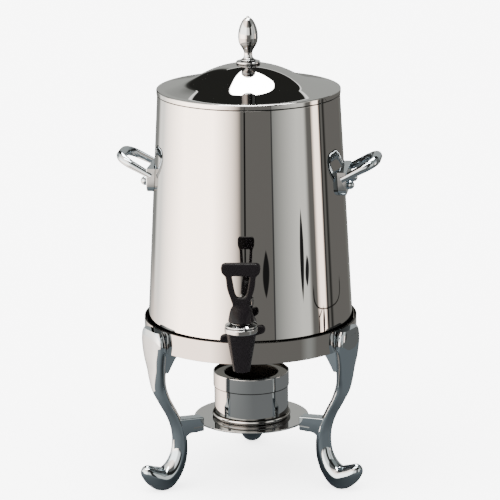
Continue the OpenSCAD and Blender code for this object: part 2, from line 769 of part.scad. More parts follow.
module tap_lever() {
    cavity_w = 7;
    cavity_l = 16.2;
    color(black) translate([0, tap_y, 0]) difference() {
        union() {
            translate([0, lever_t / 2, 0]) rotate([90, 0, 0]) linear_extrude(lever_t) difference() {
                lever_loop_2d();
                lever_eye_2d();
            }
            // skirt that flares from the neck to sit on the bonnet
            hull() {
                translate([0, 0, lever_z]) cylinder(r = skirt_r, h = 2, $fn = 32);
                translate([-lever_neck_w / 2, -lever_t / 2, lever_z + skirt_h])
                    cube([lever_neck_w, lever_t, 1]);
                translate([0, 0, lever_z + 8]) cylinder(r = skirt_r * 0.78, h = 1, $fn = 32);
            }
        }
        // room for the stem's head over the whole pull
        translate([-cavity_w / 2, -cavity_l / 2, lever_z - over])
            cube([cavity_w, cavity_l, over + pin_up + 4.5]);
        translate([-skirt_r, 0, pin_z]) rotate([0, 90, 0])
            cylinder(d = pin_d + 2 * seat, h = 2 * skirt_r, $fn = 24);
    }
}

module lever_pin() color(steel) translate([-skirt_r * 0.72, tap_y, pin_z]) rotate([0, 90, 0])
    cylinder(d = pin_d, h = skirt_r * 1.44, $fn = 24);

cup_seat_h = 7;
cup_top = valve_seat_z + rest_gap + cup_seat_h;

module tap_stem() {
    head_t = 5;
    head_wall = 1.2;
    head_z = lever_z + 1;
    slot = pin_d / 2 + slip;
    color(steel) translate([0, tap_y, 0]) difference() {
        union() {
            translate([0, 0, cup_top - 4]) cylinder(d = stem_d, h = head_z + 1 - cup_top + 4, $fn = 32);
            // flat head with the slot that the cross pin slides in
            translate([-head_t / 2, pin_path_y - slot - head_wall, head_z])
                cube([head_t, 2 * (slot + head_wall) - pin_path_y, pin_z + slot + head_wall - head_z]);
        }
        hull() for (y = [0, pin_path_y]) translate([-head_t, y, pin_z]) rotate([0, 90, 0])
            cylinder(r = slot, h = 2 * head_t, $fn = 24);
    }
}

// Silicone cup that closes the spout's bore
module seat_cup() {
    z = valve_seat_z + rest_gap;
    color("Gainsboro") translate([0, tap_y, 0]) difference() {
        rotate_extrude() polygon([[0, z], [spout_bore_d / 2 + 0.6, z], [spout_bore_d / 2 + 1.4, z + 2],
            [spout_bore_d / 2 + 1.4, z + 3.4], [stem_d / 2 + 2, cup_top], [0, cup_top]]);
        translate([0, 0, cup_top - 4]) cylinder(d = stem_d + 2 * seat, h = 10, $fn = 32);
    }
}

spring_low = cup_top + 0.2;
spring_high = bonnet_z + spigot_h + 0.1;

// Closing spring round the stem
module tap_spring() {
    wire = 0.55;
    turns = 5;
    per_turn = 14;
    coil_r = stem_d / 2 + 2.2;
    n = turns * per_turn;
    rise = (spring_high - spring_low - 2 * wire) / n;
    color(steel) translate([0, tap_y, spring_low + wire]) skin([for (i = [0:n])
        let (a = 360 * i / per_turn)
        [for (k = [0:5]) let (q = 60 * k, r = coil_r + wire * cos(q))
            [r * cos(a), r * sin(a), rise * i - wire * sin(q)]]]);
}

// ---- Lid ----------------------------------------------------------------

lid_r = neck_d / 2 + lid_overhang;
lid_low = deck_top + rest_gap;
lid_edge = lid_low + lid_rim_h;
edge_round = 1.2;
fillet_r = (fillet_d - dome_d) / 2 / (sin(dome_slope) - sin(brim_slope));
dome_r = dome_d / 2 / sin(dome_slope);
brim_z = lid_edge + (lid_r - edge_round - fillet_d / 2) * tan(brim_slope);
fillet_z = brim_z + fillet_r * cos(brim_slope);
dome_z = fillet_z - fillet_r * cos(dome_slope) - dome_r * cos(dome_slope);
fillet_x = fillet_d / 2 + fillet_r * sin(brim_slope);
apex = dome_z + dome_r;

// The lid's top from the dome's crown at radius r0 out to the rim, set in by t
function lid_line(t, r0) = concat(
    arc(0, dome_z, dome_r - t, 90 - asin(r0 / (dome_r - t)), 90 - dome_slope, 12),
    arc(fillet_x, fillet_z, fillet_r + t, 270 - dome_slope, 270 - brim_slope, 8),
    [[lid_r - edge_round - t * 0.5, lid_edge - t]]);

module lid_cover() {
    hole = finial_stud_d / 2 + seat;
    color(steel) rotate_extrude($fn = 128) polygon(concat(
        lid_line(0, hole),
        arc(lid_r - edge_round, lid_edge - edge_round, edge_round, 60, 0, 4),
        [[lid_r, lid_low], [lid_r - lid_t, lid_low], [lid_r - lid_t, lid_edge - lid_t - 0.6]],
        [for (i = [21:-1:0]) lid_line(lid_t, hole)[i]]));
}

plug_r = liner_wall_in - plug_gap;
plug_low = lid_low - plug_h;

// Underside of the lid: a shallow pan that drops into the vessel
module lid_pan() {
    bend = 5;
    t = lid_t * 0.8;
    flange = lid_r - lid_t - seat;
    color(steel) rotate_extrude($fn = 128) polygon(concat(
        [[0, plug_low]],
        arc(plug_r - bend, plug_low + bend, bend, -90, 0, 6),
        [[plug_r, lid_low], [flange, lid_low], [flange, lid_low + t], [plug_r - t, lid_low + t]],
        arc(plug_r - bend, plug_low + bend, bend - t, 0, -90, 6),
        [[0, plug_low + t]]));
}

module lid_insulation() {
    color("Khaki") translate([0, 0, plug_low + lid_t]) difference() {
        cylinder(r = plug_r - 6, h = plug_h - 1, $fn = 96);
        translate([0, 0, -over]) cylinder(d = 16, h = plug_h + 2 * over);
    }
}

module lid_gasket() {
    z = lid_low - 6;
    color("Gainsboro") rotate_extrude($fn = 128)
        band_2d(plug_r + seat, liner_wall_in - slip, z, z + 3);
}

// ---- Finial -------------------------------------------------------------

finial_stud_d = 6;
collar_r = collar_d / 2;
collar_low = dome_z + sqrt(pow(dome_r, 2) - pow(collar_r, 2)) + 0.4;
collar_top = apex + 0.6 + collar_t * 0.8;

module finial_collar() {
    color(cast) difference() {
        rotate_extrude()
            polygon([[0, apex - 4], [collar_r - 3, collar_low - 0.3], [collar_r - 0.5, collar_low],
                [collar_r, collar_low + 0.6], [collar_r, collar_low + collar_t - 0.6],
                [collar_r - 0.6, collar_low + collar_t], [0, collar_top]]);
        translate([0, 0, dome_z]) sphere(r = dome_r + seat, $fn = 128);
        cylinder(d = finial_stud_d + 2 * seat, h = collar_top + 10, $fn = 32);
    }
}

// Turned outline of the finial: flared foot, slim neck, tall bulb and a small tip
finial_line = [
    [8.6, 0], [8.4, 0.8], [6.4, 2.2], [5.2, 4.2], [finial_neck_d / 2, finial_h * 0.15],
    [finial_neck_d / 2 + 0.3, finial_h * 0.19], [finial_neck_d / 2 + 1.9, finial_h * 0.26],
    [bulb_d * 0.44, finial_h * 0.37], [bulb_d * 0.495, finial_h * 0.48], [bulb_d * 0.5, finial_h * 0.55],
    [bulb_d * 0.485, finial_h * 0.64], [bulb_d * 0.42, finial_h * 0.76], [bulb_d * 0.31, finial_h * 0.87],
    [bulb_d * 0.19, finial_h * 0.94], [1.9, finial_h * 0.965], [1.8, finial_h * 0.985], [0.8, finial_h]];

module finial() {
    stud_in = 14;
    line = smooth(finial_line, 2);
    color(cast) translate([0, 0, collar_top]) difference() {
        rotate_extrude() polygon(concat([[0, 0]], line, [[0, finial_h]]));
        translate([0, 0, -over]) cylinder(d = finial_stud_d + 2 * seat, h = stud_in + over, $fn = 32);
    }
}

nut_z = apex - lid_t - 1.4 - 5;

module finial_stud() color(steel) translate([0, 0, nut_z - 2])
    cylinder(d = finial_stud_d, h = collar_top + 13 - nut_z + 2, $fn = 32);

module finial_nut() {
    color(steel) difference() {
        union() {
            translate([0, 0, nut_z]) cylinder(d = 11, h = 5, $fn = 6);
            translate([0, 0, nut_z + 5 - seat]) cylinder(d = 16, h = 1 - seat);
        }
        translate([0, 0, nut_z - over]) cylinder(d = finial_stud_d + 2 * seat, h = 10, $fn = 32);
    }
}

// ---- Nodes --------------------------------------------------------------

stand_ring();
leg_left();
leg_right();
leg_back();
leg_screws();
burner_plate();
plate_screws();
burner_cup();
burner_cover();
outer_shell();
top_deck();
inner_liner();
base_pan();
heat_spreader();
insulation();
handle_left();
handle_right();
handle_screws_left();
handle_screws_right();
handle_backing_left();
handle_backing_right();
tap_shank();
shank_gasket();
liner_gasket();
shank_nut();
wing_nut();
tap_body();
tap_bonnet();
tap_lever();
lever_pin();
tap_stem();
seat_cup();
tap_spring();
lid_cover();
lid_pan();
lid_insulation();
lid_gasket();
finial_collar();
finial();
finial_stud();
finial_nut();
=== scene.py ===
from math import asin, atan, cos, degrees, pi, radians, sin, sqrt, tan

import bmesh
import bpy
from mathutils import Matrix, Vector


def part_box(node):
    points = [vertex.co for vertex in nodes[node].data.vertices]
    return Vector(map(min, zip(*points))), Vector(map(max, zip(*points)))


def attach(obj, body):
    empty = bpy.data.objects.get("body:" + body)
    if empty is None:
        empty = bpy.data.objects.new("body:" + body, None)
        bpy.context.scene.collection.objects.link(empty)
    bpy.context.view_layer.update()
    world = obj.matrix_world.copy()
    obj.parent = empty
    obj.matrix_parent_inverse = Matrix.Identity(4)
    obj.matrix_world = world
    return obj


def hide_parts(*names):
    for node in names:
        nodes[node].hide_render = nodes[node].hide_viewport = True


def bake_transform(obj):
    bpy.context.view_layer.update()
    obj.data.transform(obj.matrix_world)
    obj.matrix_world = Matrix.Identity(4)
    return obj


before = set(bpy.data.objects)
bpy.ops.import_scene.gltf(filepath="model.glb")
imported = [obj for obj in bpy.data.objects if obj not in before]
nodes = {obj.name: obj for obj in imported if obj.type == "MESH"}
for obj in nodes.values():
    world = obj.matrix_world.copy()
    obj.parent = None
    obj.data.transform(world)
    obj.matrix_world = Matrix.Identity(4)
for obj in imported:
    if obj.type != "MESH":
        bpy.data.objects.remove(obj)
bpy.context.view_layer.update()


# ---- Legs ----------------------------------------------------------------
# Three cabriole legs, each cast in one piece with a shield on the knee, a shoulder under the ledge,
# an arm for the shelf and a curled foot. The castings are ground, polished and chrome plated.

def shader_node(tree, kind, inputs, **settings):
    """A node with its settings; each input is given a value, or a link where it is given a socket."""
    node = tree.nodes.new("ShaderNode" + kind)
    for name, setting in settings.items():
        setattr(node, name, setting)
    for name, value in inputs.items():
        if isinstance(value, bpy.types.NodeSocket):
            tree.links.new(value, node.inputs[name])
        else:
            node.inputs[name].default_value = value
    return node


def node_group(name, inputs, outputs):
    """An empty shader group with float inputs (name: default) and named outputs, and its two ends."""
    group = bpy.data.node_groups.new(name, "ShaderNodeTree")
    for label, default in inputs.items():
        socket = group.interface.new_socket(label, in_out="INPUT", socket_type="NodeSocketFloat")
        socket.default_value = default
    for label in outputs:
        group.interface.new_socket(label, in_out="OUTPUT", socket_type="NodeSocketFloat")
    return group, group.nodes.new("NodeGroupInput"), group.nodes.new("NodeGroupOutput")


def polishing_marks_group():
    """Where the wheel and the cloth have left a metal slightly duller, and the ripple of its face."""
    group, values, result = node_group(
        "polishing marks",
        {"Patch Size": 9.0, "Shine": 0.03, "Smudge": 0.08, "Ripple Size": 30.0, "Ripple Depth": 1.0},
        ["Roughness", "Height"],
    )
    place = shader_node(group, "TexCoord", {}).outputs["Object"]
    patches = shader_node(group, "TexNoise", {
        "Vector": place, "Scale": values.outputs["Patch Size"], "Detail": 5.0, "Roughness": 0.6})
    spread = shader_node(group, "MapRange", {
        "Value": patches.outputs["Fac"], "From Min": 0.42, "From Max": 0.72,
        "To Min": values.outputs["Shine"], "To Max": values.outputs["Smudge"]})
    ripple = shader_node(group, "TexNoise", {
        "Vector": place, "Scale": values.outputs["Ripple Size"], "Detail": 1.0})
    depth = shader_node(group, "Math", {
        0: ripple.outputs["Fac"], 1: values.outputs["Ripple Depth"]}, operation="MULTIPLY")
    group.links.new(spread.outputs["Result"], result.inputs["Roughness"])
    group.links.new(depth.outputs["Value"], result.inputs["Height"])
    return group


polishing_marks = polishing_marks_group()


def new_finish(name, values):
    """A material whose Principled shader has those values, with its tree and that shader."""
    material = bpy.data.materials.new(name)
    material.use_nodes = True
    shader = material.node_tree.nodes["Principled BSDF"]
    for socket, value in values.items():
        shader.inputs[socket].default_value = value
    return material, material.node_tree, shader


def relief(tree, shader, height, strength, distance):
    """A fine relief on a material's face, from a height that changes over the face."""
    bump = shader_node(tree, "Bump", {"Strength": strength, "Distance": distance, "Height": height})
    tree.links.new(bump.outputs["Normal"], shader.inputs["Normal"])


def polished_metal(name, colour, shine, smudge, patch_size, ripple_size, ripple_depth):
    """A bare or plated metal: a mirror of that colour, with the marks that polishing left on it."""
    material, tree, metal = new_finish(name, {"Base Color": (*colour, 1.0), "Metallic": 1.0})
    marks = shader_node(tree, "Group", {
        "Patch Size": patch_size, "Shine": shine, "Smudge": smudge,
        "Ripple Size": ripple_size, "Ripple Depth": ripple_depth}, node_tree=polishing_marks)
    tree.links.new(marks.outputs["Roughness"], metal.inputs["Roughness"])
    relief(tree, metal, marks.outputs["Height"], strength=0.5, distance=0.0001)
    return material


cast_chrome = polished_metal(
    "chrome on polished casting", (0.73, 0.81, 0.87),
    shine=0.012, smudge=0.05, patch_size=14.0, ripple_size=55.0, ripple_depth=2.0)


def arc(x, y, radius, start, end, steps=8):
    """Points of an arc about (x, y), from angle start to angle end in degrees."""
    angles = [radians(start + (end - start) * i / steps) for i in range(steps + 1)]
    return [(x + radius * cos(a), y + radius * sin(a)) for a in angles]


def round_turn(steps):
    """The equal angles of one turn."""
    return [2 * pi * k / steps for k in range(steps)]


def through(stations, steps):
    """More stations between the given ones, on a smooth curve through them."""
    last = len(stations) - 1
    found = []
    for i in range(last):
        four = [stations[k] for k in (max(i - 1, 0), i, i + 1, min(i + 2, last))]
        for j in range(steps):
            t = j / steps
            found.append([0.5 * (2 * b + (c - a) * t + (2 * a - 5 * b + 4 * c - d) * t * t
                                 + (3 * b - a - 3 * c + d) * t ** 3) for a, b, c, d in zip(*four)])
    return found + [list(stations[last])]


def loft(rings):
    """Points and faces of a closed skin over rings of equal count, with a fan over each end."""
    count = len(rings[0])
    points = [Vector(p) for ring in rings for p in ring]
    faces = []
    for i in range(len(rings) - 1):
        for j in range(count):
            a = i * count + j
            b = i * count + (j + 1) % count
            faces.append((a, b, b + count, a + count))
    for start, turn in ((0, -1), (len(points) - count, 1)):
        middle = len(points)
        points.append(sum((points[start + j] for j in range(count)), Vector()) / count)
        for j in range(count):
            pair = (start + j, start + (j + 1) % count)
            faces.append((middle, *pair[::turn]))
    return points, faces


def oblong(x_low, x_high, y_low, y_high):
    return [(x_low, y_low), (x_high, y_low), (x_high, y_high), (x_low, y_high)]


def skin_of(shape):
    """Points and faces of a bmesh, which is then let go."""
    index = {v: i for i, v in enumerate(shape.verts)}
    points = [v.co.copy() for v in shape.verts]
    faces = [tuple(index[v] for v in f.verts) for f in shape.faces]
    shape.free()
    return points, faces


def prism(outline, thickness, rounding=0.0, steps=3):
    """An outline in XY, cut from a slab that is centred on z = 0, with its two rims rounded."""
    shape = bmesh.new()
    low = [shape.verts.new((x, y, -thickness / 2)) for x, y in outline]
    high = [shape.verts.new((x, y, thickness / 2)) for x, y in outline]
    shape.faces.new(low[::-1])
    shape.faces.new(high)
    for i in range(len(outline)):
        k = (i + 1) % len(outline)
        shape.faces.new((low[i], low[k], high[k], high[i]))
    bmesh.ops.recalc_face_normals(shape, faces=shape.faces)
    if rounding:
        rims = [e for e in shape.edges if (e.verts[0].co.z > 0) == (e.verts[1].co.z > 0)]
        bmesh.ops.bevel(shape, geom=rims, offset=rounding, segments=steps, affect="EDGES", profile=0.5)
    return skin_of(shape)


def made(name, points, faces, place=Matrix.Identity(4)):
    """A mesh object, its points moved into the urn's frame, with every face turned outwards."""
    mesh = bpy.data.meshes.new(name)
    mesh.from_pydata([place @ Vector(p) for p in points], [], faces)
    shape = bmesh.new()
    shape.from_mesh(mesh)
    bmesh.ops.remove_doubles(shape, verts=shape.verts, dist=1e-6)
    bmesh.ops.recalc_face_normals(shape, faces=shape.faces)
    shape.to_mesh(mesh)
    shape.free()
    piece = bpy.data.objects.new(name, mesh)
    bpy.context.scene.collection.objects.link(piece)
    return piece


def carve(piece, tool, operation="DIFFERENCE"):
    """Joins the tool to the piece, or takes it away, and drops the tool."""
    change = piece.modifiers.new("carve", "BOOLEAN")
    change.object = tool
    change.operation = operation
    change.solver = "MANIFOLD"
    graph = bpy.context.evaluated_depsgraph_get()
    mesh = bpy.data.meshes.new_from_object(piece.evaluated_get(graph))
    piece.modifiers.clear()
    piece.data = mesh
    bpy.data.objects.remove(tool)


def dress(piece, body, stands_for, material, crease=35):
    """Smooth faces with creases, a material, what the piece rides on (if one body) and stands for."""
    piece.data.shade_smooth()
    piece.data.set_sharp_from_angle(angle=radians(crease))
    flat_faces = piece.modifiers.new("flat faces stay flat", "WEIGHTED_NORMAL")
    flat_faces.keep_sharp = True
    flat_faces.weight = 100
    piece.data.materials.clear()
    piece.data.materials.append(material)
    if body:
        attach(piece, body)
    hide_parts(*stands_for)


ring_low, ring_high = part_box("stand_ring")
ledge_under = ring_low.z
band_r = ring_high.y
knee_w = 0.0255
ankle_w = 0.0086
foot_t = 0.014
foot_w = 0.0135
stand_turn = radians(3)
leg_turns = {"leg_left": radians(210), "leg_right": radians(330), "leg_back": radians(90)}

# distance from the axis, height, half-thickness, half-width, narrowing of the inner side, squareness
leg_stations = [
    (band_r + 0.0052, ledge_under * 1.146, 0.0046, knee_w * 0.72, 0.0, 3.0),
    (band_r + 0.0048, ledge_under * 1.110, 0.0060, knee_w * 0.90, 0.1, 3.0),
    (band_r + 0.0036, ledge_under * 1.035, 0.0076, knee_w, 0.2, 2.8),
    (band_r + 0.0016, ledge_under * 0.950, 0.0094, knee_w * 0.94, 0.45, 2.6),
    (band_r + 0.0002, ledge_under * 0.870, 0.0092, knee_w * 0.80, 0.55, 2.4),
    (band_r + 0.0002, ledge_under * 0.800, 0.0086, knee_w * 0.60, 0.35, 2.2),
    (band_r - 0.0016, ledge_under * 0.725, 0.0084, knee_w * 0.42, 0.1, 2.0),
    (band_r - 0.0082, ledge_under * 0.630, 0.0070, ankle_w * 1.06, 0.0, 2.0),
    (band_r - 0.0174, ledge_under * 0.530, 0.0068, ankle_w * 0.98, 0.0, 2.0),
    (band_r - 0.0242, ledge_under * 0.430, 0.0076, ankle_w, 0.0, 2.0),
    (band_r - 0.0272, ledge_under * 0.324, 0.0090, ankle_w * 1.06, 0.0, 2.0),
    (band_r - 0.0252, ledge_under * 0.218, 0.0102, ankle_w * 1.24, 0.0, 2.0),
    (band_r - 0.0172, ledge_under * 0.126, foot_t * 0.86, foot_w * 0.92, 0.0, 2.0),
    (band_r - 0.0050, foot_t - 0.0013, foot_t, foot_w, 0.0, 2.1),
    (band_r + 0.0070, foot_t + 0.0036, foot_t * 0.88, foot_w * 0.94, 0.0, 2.0),
    (band_r + 0.0150, foot_t + 0.0096, foot_t * 0.66, foot_w * 0.76, 0.0, 2.0),
    (band_r + 0.0194, foot_t + 0.0132, foot_t * 0.46, foot_w * 0.52, 0.0, 2.0),
    (band_r + 0.0219, foot_t + 0.0150, foot_t * 0.16, foot_w * 0.20, 0.0, 2.0),
]
leg_path = through(leg_stations, 5)
leg_sides = 44
shield_gap = 0.00005


def signed_pow(value, power):
    """A power that keeps the sign of its base."""
    return (-1 if value < 0 else 1) * abs(value) ** power


def leg_ring(i):
    """Points round station i of a leg that points along +X; its shield stays clear of the band."""
    x, z, thick, wide, narrow, square = leg_path[i]
    before = leg_path[max(i - 1, 0)]
    after = leg_path[min(i + 1, len(leg_path) - 1)]
    run = sqrt((after[0] - before[0]) ** 2 + (after[1] - before[1]) ** 2)
    out = ((before[1] - after[1]) / run, (after[0] - before[0]) / run)
    ring = []
    for q in round_turn(leg_sides):
        u = thick * signed_pow(sin(q), 2 / square)
        v = wide * signed_pow(cos(q), 2 / square) * (1 - narrow * (1 - sin(q)) / 2)
        px = x + u * out[0]
        pz = max(z + u * out[1], 0.0)
        if pz > ledge_under:
            px = max(px, sqrt(max((band_r + shield_gap) ** 2 - v ** 2, 0)))
        ring.append((px, v, pz))
    return ring


ledge_r = 0.098
shelf_r = 0.0676
shelf_ear = 0.014
casting_round = 0.0012
shoulder_w = 0.020
shoulder_in = ledge_r + 0.002
shoulder_top = ledge_under - 0.0002
shoulder_foot = ledge_under * 0.84
knee_in = band_r - 0.004
shoulder = [(shoulder_in, shoulder_top), (shoulder_in, ledge_under - 0.004),
            (ledge_r + 0.0095, ledge_under - 0.014), (ledge_r + 0.017, shoulder_foot),
            (knee_in, shoulder_foot), (knee_in, shoulder_top)]

arm_w = 0.015
arm_low, arm_top = 0.0642, 0.0812
arm_tip = shelf_r + 0.0004
arm_root = band_r - 0.0235
arm_root_top = arm_top + 0.002
arm_chamfer = 0.001
arm_fillet = 0.010
arm = [(arm_tip, arm_low + arm_chamfer), (arm_tip, arm_top - arm_chamfer), (arm_tip + arm_chamfer, arm_top),
       (arm_root - 0.006, arm_root_top), (arm_root, arm_root_top), (arm_root, arm_low - arm_fillet),
       *arc(arm_root - 0.017, arm_low - arm_fillet, arm_fillet, 0, 90, 6), (arm_tip + arm_chamfer, arm_low)]

ear_slot_t = 0.002
ear_slot_z = 0.070
ear_slot = oblong(shelf_r - 0.002, shelf_r + shelf_ear + 0.0004, -arm_w, arm_w)

for leg_name, leg_turn in leg_turns.items():
    stand_up = Matrix.Rotation(stand_turn + leg_turn, 4, "Z")
    upright = stand_up @ Matrix.Rotation(radians(90), 4, "X")
    slot_place = stand_up @ Matrix.Translation((0, 0, ear_slot_z))
    leg = made(leg_name + "_casting", *loft([leg_ring(i) for i in range(len(leg_path))]), stand_up)
    carve(leg, made("shoulder", *prism(shoulder, shoulder_w, casting_round), upright), "UNION")
    carve(leg, made("arm", *prism(arm, arm_w, casting_round), upright), "UNION")
    carve(leg, made("ear_slot", *prism(ear_slot, ear_slot_t), slot_place))
    dress(leg, "stand", [leg_name], cast_chrome)


# ---- Stand's ring --------------------------------------------------------
# A band of polished steel rolled into a hoop, with a ledge welded inside for the urn's foot and a
# rolled top edge. Six screws go down through the ledge into the legs.

def softened(corners, steps=3):
    """An outline from (r, z, radius) corners, each corner turned over its own radius."""
    outline = []
    for i, (x, y, radius) in enumerate(corners):
        here = Vector((x, y))
        if not radius:
            outline.append((x, y))
            continue
        before = Vector(corners[i - 1][:2]) - here
        after = Vector(corners[(i + 1) % len(corners)][:2]) - here
        start = here + before.normalized() * min(radius, before.length * 0.49)
        end = here + after.normalized() * min(radius, after.length * 0.49)
        for k in range(steps + 1):
            t = k / steps
            outline.append(tuple(start * (1 - t) ** 2 + here * 2 * t * (1 - t) + end * t ** 2))
    return outline


def turned(outline, steps=128):
    """Points and faces of a closed (r, z) outline spun about Z; points on the axis are shared."""
    points, rings, faces = [], [], []
    for r, z in outline:
        start = len(points)
        if r < 1e-7:
            points.append(Vector((0, 0, z)))
            rings.append([start] * steps)
        else:
            points += [Vector((r * cos(q), r * sin(q), z)) for q in round_turn(steps)]
            rings.append(list(range(start, start + steps)))
    for i, ring in enumerate(rings):
        onward = rings[(i + 1) % len(rings)]
        for k in range(steps):
            corner = [ring[k], ring[(k + 1) % steps], onward[(k + 1) % steps], onward[k]]
            corner = [c for j, c in enumerate(corner) if c not in corner[:j]]
            if len(corner) > 2:
                faces.append(tuple(corner))
    return points, faces


polished_steel = polished_metal(
    "polished stainless sheet", (0.905, 0.895, 0.885),
    shine=0.004, smudge=0.014, patch_size=7.0, ripple_size=9.0, ripple_depth=0.5)

band_t = 0.0018
band_top = ring_high.z
ledge_top = ledge_under + band_t
ledge_round = 0.0004
band_outline = [(band_r, ledge_under + ledge_round)]
band_outline += arc(band_r - band_t / 2, band_top - band_t / 2, band_t / 2, 0, 180, 10)
band_outline += [(band_r - band_t, ledge_top)]
band_outline += softened([(ledge_r, ledge_top, ledge_round), (ledge_r, ledge_under, ledge_round)])
band_outline += [(band_r - ledge_round, ledge_under)]
stand_ring = made("stand_ring_band", *turned(band_outline, steps=192))
dress(stand_ring, "stand", ["stand_ring"], polished_steel)


def second_finish(piece, material, chosen):
    """Gives the faces whose middle (radius, height) is chosen a second finish."""
    piece.data.materials.append(material)
    for face in piece.data.polygons:
        if chosen(face.center.xy.length, face.center.z):
            face.material_index = len(piece.data.materials) - 1


# a near-black finish that paints shade lines: the gap along the ring's top edge, the deck's rim and the
# burner cover's hem
painted_shade_line = polished_metal(
    "painted shade line", (0.02, 0.019, 0.018),
    shine=0.25, smudge=0.4, patch_size=30.0, ripple_size=60.0, ripple_depth=1.0)
# painted shade along the ring's rolled top edge, where the shell's foot stands in it
second_finish(stand_ring, painted_shade_line, lambda r, z: (
    r > band_r - band_t * 1.1 and z > band_top - band_t * 0.45))


def keep_node(name, material):
    """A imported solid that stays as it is, with its own finish."""
    node = nodes[name]
    for place in node.material_slots:
        place.link = "OBJECT"
        place.material = material


sheet_steel = polished_metal(
    "mill finish stainless", (0.74, 0.735, 0.72),
    shine=0.22, smudge=0.36, patch_size=20.0, ripple_size=80.0, ripple_depth=1.0)
keep_node("leg_screws", sheet_steel)


# ---- Burner shelf --------------------------------------------------------
# A round shelf of polished steel whose three ears sit in saw slots in the legs' arms. One screw
# comes up through each arm and ear.

shelf_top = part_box("burner_plate")[1].z
shelf_t = 0.002
shelf_low = shelf_top - shelf_t
shelf_round = 0.0005
ear_half = 0.006
shelf = made("burner_shelf", *turned(softened([
    (0, shelf_low, 0), (shelf_r, shelf_low, shelf_round), (shelf_r, shelf_top, shelf_round),
    (0, shelf_top, 0)]), steps=160))
ear = oblong(shelf_r - ear_half, shelf_r + shelf_ear, -ear_half, ear_half)
ear_level = Matrix.Translation((0, 0, shelf_top - shelf_t / 2))
for leg_turn in leg_turns.values():
    ear_place = Matrix.Rotation(stand_turn + leg_turn, 4, "Z") @ ear_level
    carve(shelf, made("ear", *prism(ear, shelf_t - 0.0001), ear_place), "UNION")
dress(shelf, "stand", ["burner_plate"], polished_steel)
keep_node("plate_screws", sheet_steel)


# ---- Burner --------------------------------------------------------------
# The holder for a can of fuel, drawn from polished sheet with its foot rolled outwards, and a
# lift-off cover with a rolled edge and a round opening for the flame.

cup_low, cup_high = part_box("burner_cup")
cup_foot = cup_low.z
cup_top = cup_high.z
cup_r = 0.0437
cup_t = 0.0008
cup_in = cup_r - cup_t
bead_in = cup_r - 0.0006
bead_r = 0.003
groove_z = cup_foot + 2 * bead_r
sheet_edge = 0.0003
fold_round = 0.0006
cup_outline = [(0, cup_foot), (bead_in, cup_foot), *arc(bead_in, cup_foot + bead_r, bead_r, -80, 80, 12)]
cup_outline += softened([
    (cup_r, groove_z, sheet_edge), (cup_r, cup_top, sheet_edge), (cup_in, cup_top, sheet_edge),
    (cup_in, cup_foot + cup_t, fold_round), (0, cup_foot + cup_t, 0)])
burner_cup = made("burner_holder", *turned(cup_outline))
dress(burner_cup, "burner", ["burner_cup"], polished_steel)


def darkened_steel(name, colour, shine, smudge):
    """Steel darker than the polished sheet, with an uneven tone, lighter in some places than in others."""
    material = polished_metal(
        name, colour, shine, smudge, patch_size=40.0, ripple_size=90.0, ripple_depth=1.0)
    tree = material.node_tree
    place = shader_node(tree, "TexCoord", {}).outputs["Object"]
    film = shader_node(tree, "TexNoise", {"Vector": place, "Scale": 60.0, "Detail": 4.0})
    tones = shader_node(tree, "ValToRGB", {"Fac": film.outputs["Fac"]})
    for stop, share in zip(tones.color_ramp.elements, (0.6, 1.5)):
        stop.color = (*[c * share for c in colour], 1.0)
    tree.links.new(tones.outputs["Color"], tree.nodes["Principled BSDF"].inputs["Base Color"])
    return material


# painted shade: near-black steel inside the holder and on the wall of the flame opening
painted_dark_inside = darkened_steel("painted shade inside the burner", (0.045, 0.038, 0.032), shine=0.35, smudge=0.6)
darker_steel = darkened_steel("darker steel", (0.17, 0.155, 0.135), shine=0.05, smudge=0.12)
# painted shade inside the holder, under its cover
second_finish(burner_cup, painted_dark_inside, lambda r, z: r < cup_r - cup_t * 0.6 and z > cup_foot + cup_t * 0.5)
# painted shade in the groove where the rolled foot meets the wall
second_finish(burner_cup, darker_steel, lambda r, z: r > cup_r - 0.001 and abs(z - groove_z) < 0.0009)

cover_low, cover_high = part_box("burner_cover")
cover_foot = cover_low.z
cover_gap = 0.0003
cover_r = cup_r + cover_gap + cup_t
cover_in = cover_r - cup_t
cover_hem = 0.0010
roll_r = 0.0008
cover_face = cover_high.z - 0.0026
cover_under = cover_face - cup_t
flame_r = 0.0314
lip_r = flame_r + cup_t
flame_lip = cover_face - 0.004
cover_outline = softened([(cover_in, cover_foot, sheet_edge), (cover_r, cover_foot, sheet_edge)])
cover_outline += [(cover_r, cover_foot + cover_hem)]
cover_outline += arc(cover_r - roll_r, cover_high.z - roll_r, roll_r, 0, 180, 10)
cover_outline += softened([
    (cover_r - 2 * roll_r, cover_face, fold_round), (flame_r, cover_face, 0.001),
    (flame_r, flame_lip, sheet_edge), (lip_r, flame_lip, sheet_edge),
    (lip_r, cover_under, fold_round), (cover_in, cover_under, 0.0004)])
burner_cover = made("burner_lid", *turned(cover_outline))
dress(burner_cover, "burner_cover", ["burner_cover"], polished_steel)
inside_shade_r = flame_r + 0.0002
# painted shade line along the cover's hem, where its edge stands off the holder's wall
second_finish(burner_cover, painted_shade_line, lambda r, z: r > cup_r and z < cover_foot + cover_hem)
# painted shade on the wall of the flame opening
second_finish(burner_cover, painted_dark_inside, lambda r, z: r < inside_shade_r)
# the cover's top face is given the darker steel
second_finish(burner_cover, darker_steel, lambda r, z: inside_shade_r < r < cover_r - 0.0012)


# ---- Urn's walls ---------------------------------------------------------
# A tapered outer wall and a straight vessel, both of stainless sheet, with a blanket between them.
# A deck closes the gap at the top, and the base pan carries a disc that spreads the burner's heat.

shell_low, shell_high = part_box("outer_shell")
shell_bottom = shell_low.z
shell_top = shell_high.z
foot_r = shell_high.x
neck_r = 0.1053
shell_t = 0.001
outer_shell = made("urn_wall", *turned(softened([
    (foot_r, shell_bottom, sheet_edge), (neck_r, shell_top, sheet_edge),
    (neck_r - shell_t, shell_top, 0), (foot_r - shell_t, shell_bottom, 0)]), steps=256))
dress(outer_shell, "urn", ["outer_shell"], polished_steel)

